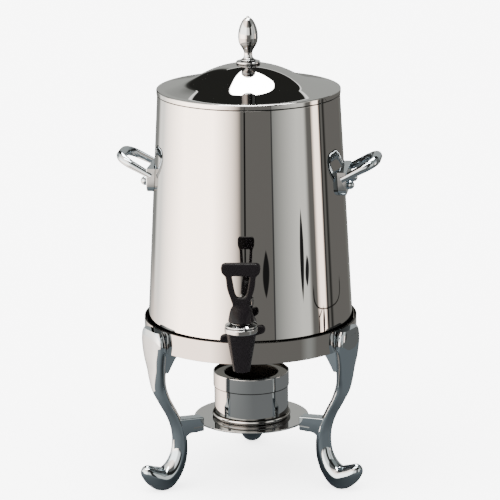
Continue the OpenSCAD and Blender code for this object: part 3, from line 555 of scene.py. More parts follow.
deck_t = 0.001
deck_top = shell_top + deck_t
vessel_r_in = 0.0952
deck_outline = softened([(vessel_r_in, deck_top, sheet_edge), (vessel_r_in, shell_top, sheet_edge)])
deck_outline += arc(neck_r, shell_top + deck_t / 2, deck_t / 2, -90, 90, 8)
top_deck = made("urn_deck", *turned(deck_outline, steps=256))
dress(top_deck, "urn", ["top_deck"], polished_steel)
# painted shade line on the deck's rolled rim, under the lid's edge
second_finish(top_deck, painted_shade_line, lambda r, z: r > neck_r - sheet_edge)

spun_aluminium = polished_metal(
    "spun aluminium disc", (0.80, 0.80, 0.79),
    shine=0.3, smudge=0.45, patch_size=30.0, ripple_size=120.0, ripple_depth=1.0)
keep_node("inner_liner", sheet_steel)
keep_node("base_pan", sheet_steel)
keep_node("heat_spreader", spun_aluminium)


def cloth_material(name, colour):
    """A soft blanket: matt fibres with a fine uneven pile."""
    material, tree, fibre = new_finish(name, {"Base Color": (*colour, 1.0), "Roughness": 0.95})
    place = shader_node(tree, "TexCoord", {}).outputs["Object"]
    pile = shader_node(tree, "TexNoise", {"Vector": place, "Scale": 900.0, "Detail": 6.0})
    relief(tree, fibre, pile.outputs["Fac"], strength=0.6, distance=0.0005)
    return material


blanket = cloth_material("ceramic fibre blanket", (0.66, 0.60, 0.46))
keep_node("insulation", blanket)


# ---- Handles -------------------------------------------------------------
# Two carrying handles, each cast with its pad and loop in one and chrome plated. Two ball-headed
# studs go through the pad and the wall into a strip behind it.

def shell_r(z):
    return foot_r + (neck_r - foot_r) * (z - shell_bottom) / (shell_top - shell_bottom)


handle_turn = radians(-4.5)
handle_z = 0.3573
handle_face = shell_r(handle_z) + 0.005
pad_w = 0.066
pad_h = 0.028
pad_deep = 0.017
pad_low = -pad_h * 0.4
pad_corner = 0.008
pad_corner_x = pad_w / 2 - pad_corner
pad_corner_y = pad_low + pad_corner
pad = [(-pad_w / 2, pad_low + pad_h), *arc(-pad_corner_x, pad_corner_y, pad_corner, 180, 270),
       *arc(pad_corner_x, pad_corner_y, pad_corner, -90, 0), (pad_w / 2, pad_low + pad_h)]

loop_z = handle_z + pad_h * 0.4
loop_rise = radians(27.3)
loop_reach = 0.036
loop_in = 0.007
loop_root_w = 0.060
loop_w = 0.052
loop_root_d = 0.0082
loop_bar_d = 0.0114
loop_corner = 0.0185
loop_sides = 28
loop_lean = (loop_root_w - loop_w) / 2 / loop_reach
loop_corner_x = loop_reach - loop_corner
loop_corner_y = loop_root_w / 2 - loop_lean * loop_corner_x - loop_corner * sqrt(1 + loop_lean ** 2)
loop_half = [(-loop_in, loop_root_w / 2 + loop_in * loop_lean), (0, loop_root_w / 2)]
loop_half += arc(loop_corner_x, loop_corner_y, loop_corner, 90 - degrees(atan(loop_lean)), 0, 16)
loop_line = loop_half + [(x, -y) for x, y in reversed(loop_half)]


def loop_ring(i):
    """Points round point i of the loop's centre line; the bar grows thicker towards the tip."""
    before = Vector(loop_line[max(i - 1, 0)])
    after = Vector(loop_line[min(i + 1, len(loop_line) - 1)])
    here = Vector(loop_line[i])
    along = (after - before).normalized()
    across = Vector((along.y, -along.x))
    radius = (loop_root_d + (loop_bar_d - loop_root_d) * max(here.x, 0) / loop_reach) / 2
    ring = []
    for q in round_turn(loop_sides):
        point = here + across * radius * cos(q)
        ring.append((point.x, point.y, -radius * sin(q)))
    return ring


ball_r = 0.0052
ball_sunk = ball_r * 0.6
ball_foot = -degrees(asin(ball_sunk / ball_r))
ball = [(0, 0), *arc(0, ball_sunk, ball_r, ball_foot, 90, 20)[:-1], (0, ball_sunk + ball_r)]
stud_apart = 0.040

wall_gap = 0.0003
wall_reach = 0.04
wall_low, wall_high = handle_z - wall_reach, handle_z + wall_reach
wall = [(0, wall_low), (shell_r(wall_low) + wall_gap, wall_low),
        (shell_r(wall_high) + wall_gap, wall_high), (0, wall_high)]
outwards = Matrix(((0, 0, 1, 0), (1, 0, 0, 0), (0, 1, 0, 0), (0, 0, 0, 1)))

for side, half_turn in (("right", 0), ("left", pi)):
    about = Matrix.Rotation(handle_turn + half_turn, 4, "Z")
    pad_place = about @ Matrix.Translation((handle_face - pad_deep / 2, 0, handle_z)) @ outwards
    handle = made("handle_" + side + "_casting", *prism(pad, pad_deep, casting_round, steps=4), pad_place)
    loop_place = about @ Matrix.Translation((handle_face, 0, loop_z)) @ Matrix.Rotation(-loop_rise, 4, "Y")
    loop = made("loop", *loft([loop_ring(i) for i in range(len(loop_line))]), loop_place)
    carve(handle, loop, "UNION")
    carve(handle, made("wall", *turned(wall, steps=256)))
    dress(handle, "urn", ["handle_" + side], cast_chrome)
    studs_points, studs_faces = [], []
    for across in (-stud_apart / 2, stud_apart / 2):
        points, faces = turned(ball, steps=48)
        ball_place = about @ Matrix.Translation((handle_face, across, handle_z)) @ outwards
        start = len(studs_points)
        studs_points += [ball_place @ p for p in points]
        studs_faces += [tuple(start + c for c in face) for face in faces]
    balls = made("handle_studs_" + side, studs_points, studs_faces)
    dress(balls, "urn", ["handle_screws_" + side], cast_chrome)
    keep_node("handle_backing_" + side, sheet_steel)


# ---- Tap: shank, body and bonnet -----------------------------------------
# A steel tube with a flange through both walls, a black moulded body with a tapered spout that a
# wing nut draws onto it, and a chrome-plated bonnet screwed on top. Rubber rings seal the walls.

def moulded_grain_group():
    """The fine spark grain of a mould's face, and the shine of places that are handled."""
    group, values, result = node_group(
        "moulded grain", {"Grain Size": 1400.0, "Dull": 0.4, "Worn": 0.28}, ["Roughness", "Height"])
    place = shader_node(group, "TexCoord", {}).outputs["Object"]
    grain = shader_node(group, "TexNoise", {
        "Vector": place, "Scale": values.outputs["Grain Size"], "Detail": 3.0})
    worn = shader_node(group, "TexNoise", {"Vector": place, "Scale": 40.0})
    spread = shader_node(group, "MapRange", {
        "Value": worn.outputs["Fac"], "From Min": 0.35, "From Max": 0.65,
        "To Min": values.outputs["Dull"], "To Max": values.outputs["Worn"]})
    group.links.new(spread.outputs["Result"], result.inputs["Roughness"])
    group.links.new(grain.outputs["Fac"], result.inputs["Height"])
    return group


moulded_grain = moulded_grain_group()


def moulded_plastic(name, colour, dull, worn, shine, grain_depth):
    """A plastic or rubber with the mould's grain on it, shinier where it is handled."""
    material, tree, plastic = new_finish(name, {"Base Color": (*colour, 1.0), "Specular IOR Level": shine})
    grain = shader_node(tree, "Group", {"Dull": dull, "Worn": worn}, node_tree=moulded_grain)
    tree.links.new(grain.outputs["Roughness"], plastic.inputs["Roughness"])
    relief(tree, plastic, grain.outputs["Height"], strength=0.5, distance=grain_depth)
    return material


black_plastic = moulded_plastic(
    "black moulded plastic", (0.0026, 0.0022, 0.0025), dull=0.24, worn=0.17, shine=0.13, grain_depth=0.000004)
silicone = moulded_plastic(
    "clear silicone", (0.72, 0.71, 0.68), dull=0.5, worn=0.4, shine=0.4, grain_depth=0.00002)

tap_low, tap_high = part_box("tap_body")
bonnet_low, bonnet_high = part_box("tap_bonnet")
tap_y = (bonnet_low.y + bonnet_high.y) / 2
tap_axis = Matrix.Translation((0, tap_y, 0))
shank_z = 0.2183
spout_z = tap_low.z
spout_r = 0.0092
bore_r = 0.0065
bonnet_z = bonnet_low.z
body_r = 0.01685
body_top = bonnet_z - 0.0001
thread_r = 0.0134
thread_top = bonnet_z + 0.006
chamber_r = 0.011
chamber_low = shank_z - 0.006
body_outline = softened([
    (bore_r, spout_z, 0.0004), (spout_r, spout_z, 0.0008), (body_r, body_top, 0.0006),
    (thread_r, body_top, 0), (thread_r, thread_top, 0), (chamber_r, thread_top, 0),
    (chamber_r, chamber_low, 0), (bore_r, chamber_low, 0)])
tap_body = made("tap_barrel", *turned(body_outline, steps=96), tap_axis)
inlet_r = 0.009
inlet_bore = 0.0045
inlet_y = tap_y + 0.012
towards_wall = Matrix.Rotation(radians(-90), 4, "X")
inlet_place = Matrix.Translation((0, inlet_y, shank_z)) @ towards_wall
inlet_outline = oblong(inlet_bore, inlet_r, 0, tap_high.y - inlet_y)
carve(tap_body, made("inlet", *turned(inlet_outline, steps=64), inlet_place), "UNION")
dress(tap_body, "urn", ["tap_body"], black_plastic)

bonnet_r = 0.01844
bonnet_bore = 0.0135
bonnet_roof = bonnet_z + 0.0073
foot_round = 0.0012
bead_round = 0.001
groove_r = bonnet_r - 0.0014
groove_half = 0.0014
bonnet_groove = bonnet_z + (bonnet_high.z - bonnet_z) * 0.52
crown_r = 0.0125
stem_hole = 0.0033
bonnet_outline = [(bonnet_bore, bonnet_z)]
bonnet_outline += arc(bonnet_r - foot_round, bonnet_z + foot_round, foot_round, -90, 0, 8)
bonnet_outline += arc(bonnet_r - bead_round, bonnet_groove - groove_half, bead_round, 0, 80, 8)
bonnet_outline += [(groove_r, bonnet_groove)]
bonnet_outline += arc(groove_r, bonnet_groove + groove_half, bead_round, -60, 60, 8)
bonnet_outline += softened([
    (crown_r, bonnet_high.z - 0.0001, 0.0006), (stem_hole, bonnet_high.z, 0.0003),
    (stem_hole, bonnet_roof, 0), (bonnet_bore, bonnet_roof, 0)])
tap_bonnet = made("tap_cap", *turned(bonnet_outline, steps=96), tap_axis)
bonnet_chrome = polished_metal(
    "chrome on turned brass", (0.86, 0.87, 0.88),
    shine=0.02, smudge=0.05, patch_size=30.0, ripple_size=60.0, ripple_depth=1.0)
dress(tap_bonnet, "urn", ["tap_bonnet"], bonnet_chrome)

keep_node("tap_shank", sheet_steel)
keep_node("shank_nut", sheet_steel)
keep_node("shank_gasket", black_plastic)
keep_node("liner_gasket", silicone)


# ---- Wing nut ------------------------------------------------------------
# The coupling nut behind the tap's body, moulded in black plastic with two wings to turn it by. It
# is screwed onto the shank and draws the body's inlet against it.

def rounded_hull(circles, steps):
    """Outline round a set of (x, y, radius) circles, as a taut string would lie."""
    cloud = sorted({(round(x + r * cos(q), 7), round(y + r * sin(q), 7))
                    for x, y, r in circles for q in round_turn(steps)})
    chains = []
    for order in (cloud, cloud[::-1]):
        chain = []
        for p in order:
            while len(chain) > 1 and ((chain[-1][0] - chain[-2][0]) * (p[1] - chain[-2][1])
                                      <= (chain[-1][1] - chain[-2][1]) * (p[0] - chain[-2][0])):
                chain.pop()
            chain.append(p)
        chains += chain[:-1]
    return chains


nut_low, nut_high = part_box("wing_nut")
nut_place = Matrix.Translation((0, (nut_low.y + nut_high.y) / 2, shank_z)) @ towards_wall
nut_half = 0.006
nut_bore = inlet_r + 0.0001
nut_edge = 0.0004
nut_round = 0.0015
hub_r = 0.0124
wing_nut = made("wing_nut_hub", *turned(softened([
    (nut_bore, -nut_half, nut_edge), (hub_r, -nut_half, nut_round),
    (hub_r, nut_half, nut_round), (nut_bore, nut_half, nut_edge)], steps=4), steps=72), nut_place)
wing_span = 0.052
wing_t = 0.008
wing_root_x = 0.0128
wing_root_r = 0.0052
wing_tip_r = 0.0046
wing_round = 0.0018
wing_angle = radians(15)
wing = rounded_hull([(wing_root_x, 0, wing_root_r), (wing_span / 2 - wing_tip_r, 0, wing_tip_r)], steps=32)
for half_turn in (0, pi):
    wing_place = nut_place @ Matrix.Rotation(half_turn - wing_angle, 4, "Z")
    carve(wing_nut, made("wing", *prism(wing, wing_t, wing_round, steps=4), wing_place), "UNION")
bore = oblong(0, nut_bore, -2 * nut_half, 2 * nut_half)
carve(wing_nut, made("bore", *turned(bore, steps=72), nut_place))
dress(wing_nut, "urn", ["wing_nut"], black_plastic)


# ---- Tap's lever ---------------------------------------------------------
# A black moulded lever: a skirt that rocks on the bonnet, a loop with an open eye and a wide pad to
# pull. A steel pin through the skirt lifts the stem and its silicone cup off the seat.

lever_low, lever_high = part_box("tap_lever")
lever_z = lever_low.z
lever_top = lever_high.z
lever_half_w = (lever_high.x - lever_low.x) / 2
lever_t = 0.008
lever_round = 0.0016
lever_pad_r = 0.0068
lever_face = tap_axis @ Matrix.Rotation(radians(90), 4, "X")
neck_top = lever_z + 0.0195
neck_foot = neck_top - 0.003
neck_half = 0.009
eye_top = lever_top - 2 * lever_pad_r - 0.0006
eye_foot = lever_z + 0.0270
lever_half = [(0.0, lever_top, 0), (lever_half_w, lever_top, 0.0058),
              (lever_half_w, lever_top - 0.0105, 0.0052),
              (lever_half_w - lever_pad_r + 0.0016, lever_top - 0.0150, 0.0030),
              (0.0152, eye_foot + 0.010, 0.0050), (neck_half, neck_top, 0.0030),
              (neck_half, neck_foot, 0), (0.0, neck_foot, 0)]
eye_half = [(0.0, eye_top, 0), (0.0101, eye_top, 0.0024), (0.0070, eye_foot + 0.0058, 0.0044),
            (0.0046, eye_foot, 0.0042), (0.0, eye_foot, 0)]


def both_halves(half):
    """A clockwise outline, softened, from its right half."""
    right = softened(half, 8)
    return right + [(-x, y) for x, y in right[-2:0:-1]]


def pierced_plate(outline, opening, thickness, rounding, steps=5):
    """A slab cut to an outline with one opening through it; every rim is rounded."""
    shape = bmesh.new()
    levels = [(-thickness / 2 + rounding, radians(90 * k / steps - 90)) for k in range(steps + 1)]
    levels += [(thickness / 2 - rounding, radians(90 * k / steps)) for k in range(steps + 1)]
    rims = [[], []]
    for loop, side in ((outline, 1), (opening, -1)):
        rings = []
        for middle, angle in levels:
            ring = []
            for k, (x, y) in enumerate(loop):
                before = Vector(loop[k - 1])
                after = Vector(loop[(k + 1) % len(loop)])
                along = (after - before).normalized()
                inset = side * rounding * (1 - cos(angle))
                ring.append(shape.verts.new((x + along.y * inset, y - along.x * inset,
                                             middle + rounding * sin(angle))))
            rings.append(ring)
        for low, high in zip(rings, rings[1:]):
            for k in range(len(loop)):
                n = (k + 1) % len(loop)
                shape.faces.new((low[k], low[n], high[n], high[k]))
        for rim, ring in zip(rims, (rings[0], rings[-1])):
            rim += [shape.edges.get((ring[k - 1], ring[k])) for k in range(len(ring))]
    for rim in rims:
        bmesh.ops.triangle_fill(shape, use_beauty=True, edges=rim, normal=(0, 0, 1))
    return skin_of(shape)


lever = made("tap_handle", *pierced_plate(
    both_halves(lever_half), both_halves(eye_half), lever_t, lever_round), lever_face)

skirt_r = 0.0143
skirt_h = 0.0185
skirt_sides = 48
# height, half-width, half-depth, squareness
skirt_stations = [
    (0.0, skirt_r - 0.0006, skirt_r - 0.0006, 2.0), (0.0008, skirt_r, skirt_r, 2.0),
    (0.0022, skirt_r - 0.0001, skirt_r - 0.0001, 2.0), (0.008, 0.0131, 0.0114, 2.3),
    (0.013, 0.0118, 0.0080, 2.6), (0.016, 0.0102, 0.0056, 3.0), (skirt_h, neck_half, lever_t / 2, 4.0)]
skirt_rings = []
for skirt_z, half_x, half_y, square in through(skirt_stations, 4):
    skirt_rings.append([
        (half_x * signed_pow(cos(q), 2 / square), half_y * signed_pow(sin(q), 2 / square), lever_z + skirt_z)
        for q in round_turn(skirt_sides)])
carve(lever, made("skirt", *loft(skirt_rings), tap_axis), "UNION")
cavity_half_w = 0.0035
cavity_half_d = 0.0081
cavity_h = 0.0125
cavity_place = Matrix.Translation((0, tap_y, lever_z - 0.001 + cavity_h / 2))
cavity = oblong(-cavity_half_w, cavity_half_w, -cavity_half_d, cavity_half_d)
carve(lever, made("cavity", *prism(cavity, cavity_h), cavity_place))
dress(lever, "tap_lever", ["tap_lever"], black_plastic, 40)
keep_node("lever_pin", sheet_steel)
keep_node("tap_stem", sheet_steel)

# the spring is pressed together between the rising stem and the bonnet, which stays where it is
spring_low, spring_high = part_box("tap_spring")
wire_r = 0.00055
wire_sides = 12
wire_low = spring_low.z + 2 * wire_r
wire_high = spring_high.z - 2 * wire_r
coil_r = 0.0052
coils = 5
coil_steps = 28
coil_rings = []
for i in range(coils * coil_steps + 1):
    wound = 2 * pi * i / coil_steps
    wire_z = wire_low - wire_r + (wire_high - wire_low + 2 * wire_r) * i / (coils * coil_steps)
    ring = []
    for q in round_turn(wire_sides):
        out = coil_r + wire_r * cos(q)
        ring.append((out * cos(wound), out * sin(wound), wire_z + wire_r * sin(q)))
    coil_rings.append(ring)
spring = made("closing_spring", *loft(coil_rings), tap_axis)
dress(spring, None, ["tap_spring"], sheet_steel, 60)
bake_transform(spring)
keep_node("seat_cup", silicone)


# ---- Lid -----------------------------------------------------------------
# A domed cover of polished sheet with a turned-down rim, spun together with a pan that drops into
# the vessel. A pad fills the space between them, and a silicone ring seals the plug.

lid_low, lid_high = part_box("lid_cover")
lid_r = lid_high.x
lid_t = 0.001
lid_edge = lid_low.z + 0.005
rim_rise = 0.0004
edge_round = 0.0012
edge_r = lid_r - edge_round
ease_r = edge_r - 0.0065
brim_slope = radians(13.8)
dome_slope = radians(28.2)
dome_last = 62
dome_d = 0.108
fillet_d = 0.156
fillet_r = (fillet_d - dome_d) / 2 / (sin(dome_slope) - sin(brim_slope))
dome_r = dome_d / 2 / sin(dome_slope)
brim_z = lid_edge - rim_rise + (edge_r - fillet_d / 2) * tan(brim_slope)
fillet_z = brim_z + fillet_r * cos(brim_slope)
fillet_x = fillet_d / 2 + fillet_r * sin(brim_slope)
dome_z = fillet_z - fillet_r * cos(dome_slope) - dome_r * cos(dome_slope)
stud_r = 0.003
lid_steps = 14


def lid_line(inset):
    """The lid's top from the finial's stud out to the rim, set in by inset: dome, fillet and brim."""
    crown = 90 - degrees(asin(stud_r / (dome_r - inset)))
    line = arc(0, dome_z, dome_r - inset, crown, dome_last, 2 * lid_steps)[:-1]
    line += arc(fillet_x, fillet_z, fillet_r + inset, 270 - degrees(dome_slope),
                270 - degrees(brim_slope), lid_steps)
    line += [(ease_r, brim_z - (ease_r - fillet_d / 2) * tan(brim_slope) - inset)]
    return line + [(edge_r - inset * 0.5, lid_edge + rim_rise - inset)]


lid_outline = lid_line(0)
lid_outline += arc(edge_r, lid_edge + rim_rise - edge_round, edge_round, 80, 0, 7)
lid_outline += softened([(lid_r, lid_low.z, sheet_edge), (lid_r - lid_t, lid_low.z, sheet_edge),
                         (lid_r - lid_t, lid_edge - lid_t - 0.0006, 0)])
lid_outline += lid_line(lid_t)[::-1]
lid_cover = made("lid_dome", *turned(lid_outline, steps=256))
dress(lid_cover, "lid", ["lid_cover"], polished_steel)
keep_node("lid_pan", sheet_steel)
keep_node("lid_insulation", blanket)
keep_node("lid_gasket", silicone)


# ---- Finial --------------------------------------------------------------
# A turned knob on a collar, both polished and chrome plated. A stud goes down through the collar
# and the lid's two skins, and a nut under the lid holds all of them.

collar_r = 0.014
collar_t = 0.003
collar_round = 0.0006
collar_foot = dome_z + sqrt(dome_r ** 2 - collar_r ** 2) + 0.0004
collar_top = collar_foot + collar_t
collar_outline = softened([
    (0, dome_z + dome_r + 0.0002, 0), (collar_r - 0.003, collar_foot + 0.0005, 0),
    (collar_r - 0.0004, collar_foot, 0.0004), (collar_r, collar_foot + 0.0008, collar_round),
    (collar_r, collar_top - collar_round, collar_round), (collar_r - collar_round, collar_top, collar_round),
    (0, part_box("finial_collar")[1].z, 0)])
collar = made("finial_rose", *turned(collar_outline, steps=96))
dress(collar, "lid", ["finial_collar"], bonnet_chrome)

finial_low, finial_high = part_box("finial")
finial_h = finial_high.z - finial_low.z
bulb_r = 0.0114
finial_neck_r = 0.0048
# radius, height above the foot
finial_line = through([
    (0.0086, 0.0), (0.0084, 0.0008), (0.0064, 0.0022), (0.0052, 0.0042),
    (finial_neck_r, finial_h * 0.15), (finial_neck_r + 0.0003, finial_h * 0.19),
    (finial_neck_r + 0.0019, finial_h * 0.26), (bulb_r * 0.88, finial_h * 0.37),
    (bulb_r * 0.99, finial_h * 0.48), (bulb_r, finial_h * 0.55), (bulb_r * 0.97, finial_h * 0.64),
    (bulb_r * 0.84, finial_h * 0.76), (bulb_r * 0.62, finial_h * 0.87), (bulb_r * 0.38, finial_h * 0.94),
    (0.0019, finial_h * 0.965), (0.0018, finial_h * 0.985), (0.0008, finial_h)], 6)
finial_outline = [(0, finial_low.z), *[(r, finial_low.z + z) for r, z in finial_line], (0, finial_high.z)]
finial = made("finial_knob", *turned(finial_outline, steps=96))
dress(finial, "lid", ["finial"], bonnet_chrome)
keep_node("finial_stud", sheet_steel)
keep_node("finial_nut", sheet_steel)


# ---- Studio --------------------------------------------------------------
# A plain pale floor and an even soft light from above. The polished metal also shows a room of pale
# and dark cards, which hang far off and are seen by direction, and a grey card under the stand.

def sheet(name, outline, height, paint):
    """A flat sheet of the studio, lying at that height."""
    mesh = bpy.data.meshes.new(name)
    mesh.from_pydata([(x, y, height) for x, y in outline], [], [tuple(range(len(outline)))])
    mesh.materials.append(paint)
    flat = bpy.data.objects.new(name, mesh)
    bpy.context.scene.collection.objects.link(flat)
    return flat


def matt_paint(name, colour, glow):
    """A matt paint that glows a little in its own colour."""
    return new_finish(name, {
        "Base Color": (*colour, 1.0), "Roughness": 0.9, "Specular IOR Level": 0.0,
        "Emission Color": (*colour, 1.0), "Emission Strength": glow})


floor_reach = 30.0
pale_paint = matt_paint("pale floor", (0.84, 0.84, 0.84), 3.4)[0]
floor = sheet("floor", arc(0, 0, floor_reach, 0, 360, 96)[:-1], -0.0002, pale_paint)
floor.visible_glossy = False


def colour_mix(tree, share, under, upper):
    """The colour that goes from under to upper as share goes from 0 to 1."""
    ends = [c if isinstance(c, bpy.types.NodeSocket) else (*c, 1.0) for c in (under, upper)]
    return shader_node(tree, "Mix", {"Factor": share, 6: ends[0], 7: ends[1]}, data_type="RGBA").outputs[2]


def card_paint(name, left, right, middle):
    """A grey card seen only in the metal, which glows with painted light: lighter on its left, and darkest in
    the middle with a painted shadow of the urn.
    """
    material, tree, paint = matt_paint(name, (0.0, 0.0, 0.0), 1.0)
    place = shader_node(tree, "TexCoord", {}).outputs["Object"]
    across = shader_node(tree, "SeparateXYZ", {"Vector": place}).outputs["X"]
    outwards_from_urn = shader_node(tree, "VectorMath", {0: place}, operation="LENGTH").outputs["Value"]
    shares = []
    for value, start, end in ((across, -0.5, 0.05), (outwards_from_urn, 0.10, 0.22)):
        rise = shader_node(tree, "MapRange", {"Value": value, "From Min": start, "From Max": end})
        shares.append(rise.outputs["Result"])
    lit = colour_mix(tree, shares[0], left, right)
    tree.links.new(colour_mix(tree, shares[1], middle, lit), paint.inputs["Emission Color"])
    return material


card_reach, card_reach_left = 0.64, 0.26
card_outline = arc(0, 0, card_reach, -167, 93, 80) + arc(0, 0, card_reach_left, 93, 193, 30)
# the grey card glows with painted light, lighter on the left, with a painted shadow of the urn in its middle
grey_card = sheet("grey_card", card_outline, -0.0001, card_paint(
    "grey card", (0.30, 0.315, 0.315), (0.15, 0.160, 0.163), (0.035, 0.040, 0.043)))
grey_card.visible_camera = False
grey_card.visible_diffuse = False
grey_card.visible_shadow = False

overhead = bpy.data.objects.new("overhead_light", bpy.data.lights.new("overhead_light", "SUN"))
overhead.data.energy = 9.0
overhead.data.angle = radians(70)
overhead.rotation_euler = (radians(18), radians(-14), 0)
overhead.visible_glossy = False
bpy.context.scene.collection.objects.link(overhead)

# the cards and windows that stand round the room come in nine plain colours; each has its left and right
# edge, in degrees from the camera towards the right handle, and the wall fades evenly between two of them
black = (0.02, 0.02, 0.018)
dark = (0.14, 0.135, 0.125)
dim = (0.27, 0.275, 0.26)
grey = (0.42, 0.43, 0.41)
pale = (0.85, 0.84, 0.78)
light = (1.5, 1.45, 1.35)
warm = (3.2, 2.6, 2.2)
bright = (3.9, 3.8, 3.5)
window = (6.2, 5.1, 4.3)
below = [
    (-180, -160, grey), (-110, -45, warm), (-15, 55, dark), (64, 68, dim), (76, 150, dark), (179, 180, grey),
]
level = [
    (-180, -148, dim), (-140, -130, light), (-85, -45, window), (-10, 26.5, dark), (28.5, 29, dim),
    (60, 70, pale), (75, 82, dark), (87, 94, warm), (96, 98, black), (99.5, 101.5, dark), (104, 105, black),
    (108, 150, dark), (179, 180, dim),
]
above = [
    (-180, -172, grey), (-170, -151, black), (-149.5, -149, pale), (-146, -120, grey), (-96, -24, bright),
    (-14, 8, light), (23, 41, black), (46, 64, pale), (70, 71, dim), (78, 92, pale), (99, 118, dark),
    (160, 170, grey), (179, 180, grey),
]
overhead_room = [
    (-180, -141, black), (-138, -137, pale), (-60, -38, warm), (-8, 20, dark), (25, 52, black),
    (62, 104, dim), (140, 180, black),
]
brightest = 8.0
camera_turn = radians(3.2)

world = bpy.data.worlds.new("studio")
bpy.context.scene.world = world
world.use_nodes = True
room = world.node_tree
room.nodes.clear()


def room_math(operation, *values):
    """A sum or other step between numbers of the room."""
    return shader_node(room, "Math", dict(enumerate(values)), operation=operation).outputs["Value"]


def room_all(first, *others):
    """The product of several shares."""
    for share in others:
        first = room_math("MULTIPLY", first, share)
    return first


def room_rise(value, low, high, down=False):
    """A smooth rise from 0 to 1, or a fall, as value goes from low to high."""
    return shader_node(room, "MapRange", {
        "Value": value, "From Min": low, "From Max": high, "To Min": float(down), "To Max": float(not down),
    }, interpolation_type="SMOOTHSTEP").outputs["Result"]


def room_cards(around, cards):
    """The cards that stand round the room at one height, as a colour ramp over the azimuth."""
    ramp = shader_node(room, "ValToRGB", {"Fac": around})
    stops = ramp.color_ramp.elements
    stops.remove(stops[-1])
    for left, right, colour in cards:
        for angle in (left, right):
            stop = stops[0] if angle == -180 else stops.new((angle + 180) / 360)
            stop.position = (angle + 180) / 360
            stop.color = (*[c / brightest for c in colour], 1.0)
    return ramp.outputs["Color"]


looking = shader_node(room, "TexCoord", {}).outputs["Generated"]
facing = shader_node(room, "VectorRotate", {"Vector": looking, "Angle": -camera_turn}, rotation_type="Z_AXIS")
parts = shader_node(room, "SeparateXYZ", {"Vector": facing.outputs["Vector"]})
to_right = parts.outputs["X"]
to_back = parts.outputs["Y"]
height = parts.outputs["Z"]
azimuth = room_math("ARCTAN2", to_right, room_math("MULTIPLY", to_back, -1.0))
around = room_math("MULTIPLY_ADD", azimuth, 0.5 / pi, 0.5)
shown = room_cards(around, below)
for cards, low, high in ((level, -0.25, -0.22), (above, -0.06, 0.02), (overhead_room, 0.462, 0.482)):
    shown = colour_mix(room, room_rise(height, low, high), shown, room_cards(around, cards))

# a grey seam runs where the back wall meets the ceiling
seam = room_all(room_rise(height, 0.458, 0.464), room_rise(height, 0.472, 0.480, True))
seam_reach = room_rise(room_all(room_rise(to_right, -0.20, -0.14), to_back), 0.70, 0.78)
shown = colour_mix(room, room_all(seam, seam_reach), shown, (0.15, 0.15, 0.145))

# one soft box hangs behind the urn, on a level ceiling that a direction meets at (sideways,
# backwards) for a ceiling one unit up; its two sides draw together towards the back
lamp_glow = (2.4, 2.4, 2.3)
ceiling = room_math("MAXIMUM", height, 0.05)
sideways = room_math("DIVIDE", to_right, ceiling)
backwards = room_math("DIVIDE", to_back, ceiling)
left_side = room_math("MULTIPLY_ADD", backwards, 0.19, -0.33)
right_side = room_math("MINIMUM", room_math("MULTIPLY_ADD", backwards, -0.60, 0.76), 0.36)
box = room_all(
    room_rise(room_math("SUBTRACT", sideways, left_side), 0.0, 0.02),
    room_rise(room_math("SUBTRACT", right_side, sideways), 0.0, 0.02),
    room_rise(height, 0.630, 0.645), room_rise(backwards, 0.28, 0.32))
shown = colour_mix(room, box, shown, lamp_glow)

# a narrow strip of light hangs on the same ceiling, a little in front
strip = room_all(
    room_rise(backwards, -0.32, -0.30), room_rise(backwards, -0.14, -0.12, True),
    room_rise(sideways, -0.60, -0.55), room_rise(sideways, 0.25, 0.30, True))
shown = colour_mix(room, strip, shown, lamp_glow)

# small dark things stand about the room, each as a pointed oval: azimuth and height of its middle,
# half its width and half its height, and its brightness
room_things = [
    (-5.5, -0.13, 1.0, 0.13, 0.008), (27.2, -0.14, 0.9, 0.11, 0.05), (18, -0.1555, 3.7, 0.0088, 0.012),
    (62, -0.163, 2.6, 0.0175, 0.015), (68.5, -0.172, 2.6, 0.0060, 0.02), (33, 0.0, 7.0, 0.085, 0.03),
    (36, -0.50, 4.0, 0.14, 0.02), (90.5, -0.2045, 1.7, 0.0060, 0.01), (83.0, -0.2010, 0.9, 0.0055, 0.01),
    (86, -0.1985, 3.5, 0.0006, 0.01), (98, -0.2080, 1.0, 0.0045, 0.01),
]
for thing_azimuth, thing_height, half_width, half_height, brightness in room_things:
    from_side = room_math("SUBTRACT", azimuth, radians(thing_azimuth))
    from_side = room_math("DIVIDE", from_side, radians(half_width))
    from_level = room_math("DIVIDE", room_math("SUBTRACT", height, thing_height), half_height)
    off_thing = room_math("ADD", room_math("ABSOLUTE", from_side), room_math("POWER", from_level, 2.0))
    shown = colour_mix(room, room_rise(off_thing, 0.85, 1.15, True), shown, (brightness / brightest,) * 3)

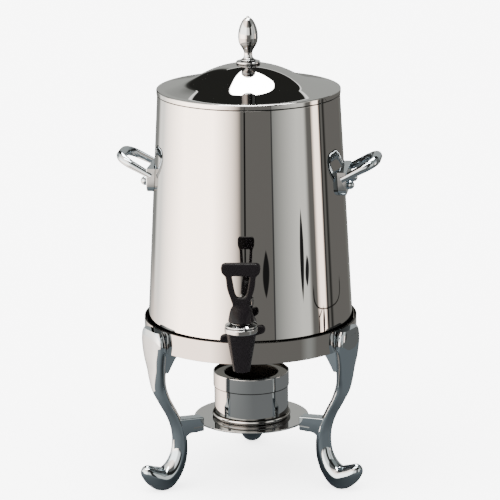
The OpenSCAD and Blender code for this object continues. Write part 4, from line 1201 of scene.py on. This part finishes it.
# a tall panel with a rounded, slanting lower end stands on the right, and the dark line of that end shows
from_middle = room_math("SUBTRACT", azimuth, radians(99.6))
slanted = room_math("MULTIPLY_ADD", from_middle, 0.0367, height)
panel_side = room_math("DIVIDE", from_middle, radians(23.3))
panel_end = room_math("DIVIDE", room_math("MAXIMUM", room_math("SUBTRACT", -0.1980, slanted), 0.0), 0.0077)
panel = room_math("ADD", room_math("POWER", panel_side, 4.0), room_math("POWER", panel_end, 4.0))
panel_line = room_all(room_rise(panel, 0.80, 0.92), room_rise(panel, 1.08, 1.20, True),
                      room_rise(slanted, -0.200, -0.196, True))
shown = colour_mix(room, panel_line, shown, (0.002, 0.002, 0.0018))

# metal that is seen in other metal shows a darker room
path = shader_node(room, "LightPath", {})
second_mirror = room_math("GREATER_THAN", path.outputs["Glossy Depth"], 1.5)
shown = colour_mix(room, room_math("MULTIPLY", second_mirror, 0.8), shown, (0.0, 0.0, 0.0))


def room_light(colour, strength):
    """Light of that colour from all round."""
    return shader_node(room, "Background", {"Color": colour, "Strength": strength}).outputs["Background"]


white = (1.0, 1.0, 1.0, 1.0)
soft_light = room_light(white, 3.6)
mirrored = room_light(shown, brightest)
backdrop = room_light(white, 8.0)
lit = shader_node(room, "MixShader", {"Fac": path.outputs["Is Glossy Ray"], 1: soft_light, 2: mirrored})
seen = shader_node(room, "MixShader", {
    "Fac": path.outputs["Is Camera Ray"], 1: lit.outputs["Shader"], 2: backdrop})
shader_node(room, "OutputWorld", {"Surface": seen.outputs["Shader"]})

camera = bpy.data.objects.new("camera", bpy.data.cameras.new("camera"))
camera.data.sensor_width = 36.0
camera.data.lens = 190.89
camera_place = Matrix.Translation((0.1670, -2.9875, 1.04812))
look_down = radians(14.538)
camera_roll = radians(-0.5355)
camera.matrix_world = camera_place @ (
    Matrix.Rotation(camera_turn, 4, "Z") @ Matrix.Rotation(pi / 2 - look_down, 4, "X")
    @ Matrix.Rotation(camera_roll, 4, "Z"))
bpy.context.scene.collection.objects.link(camera)
bpy.context.scene.camera = camera
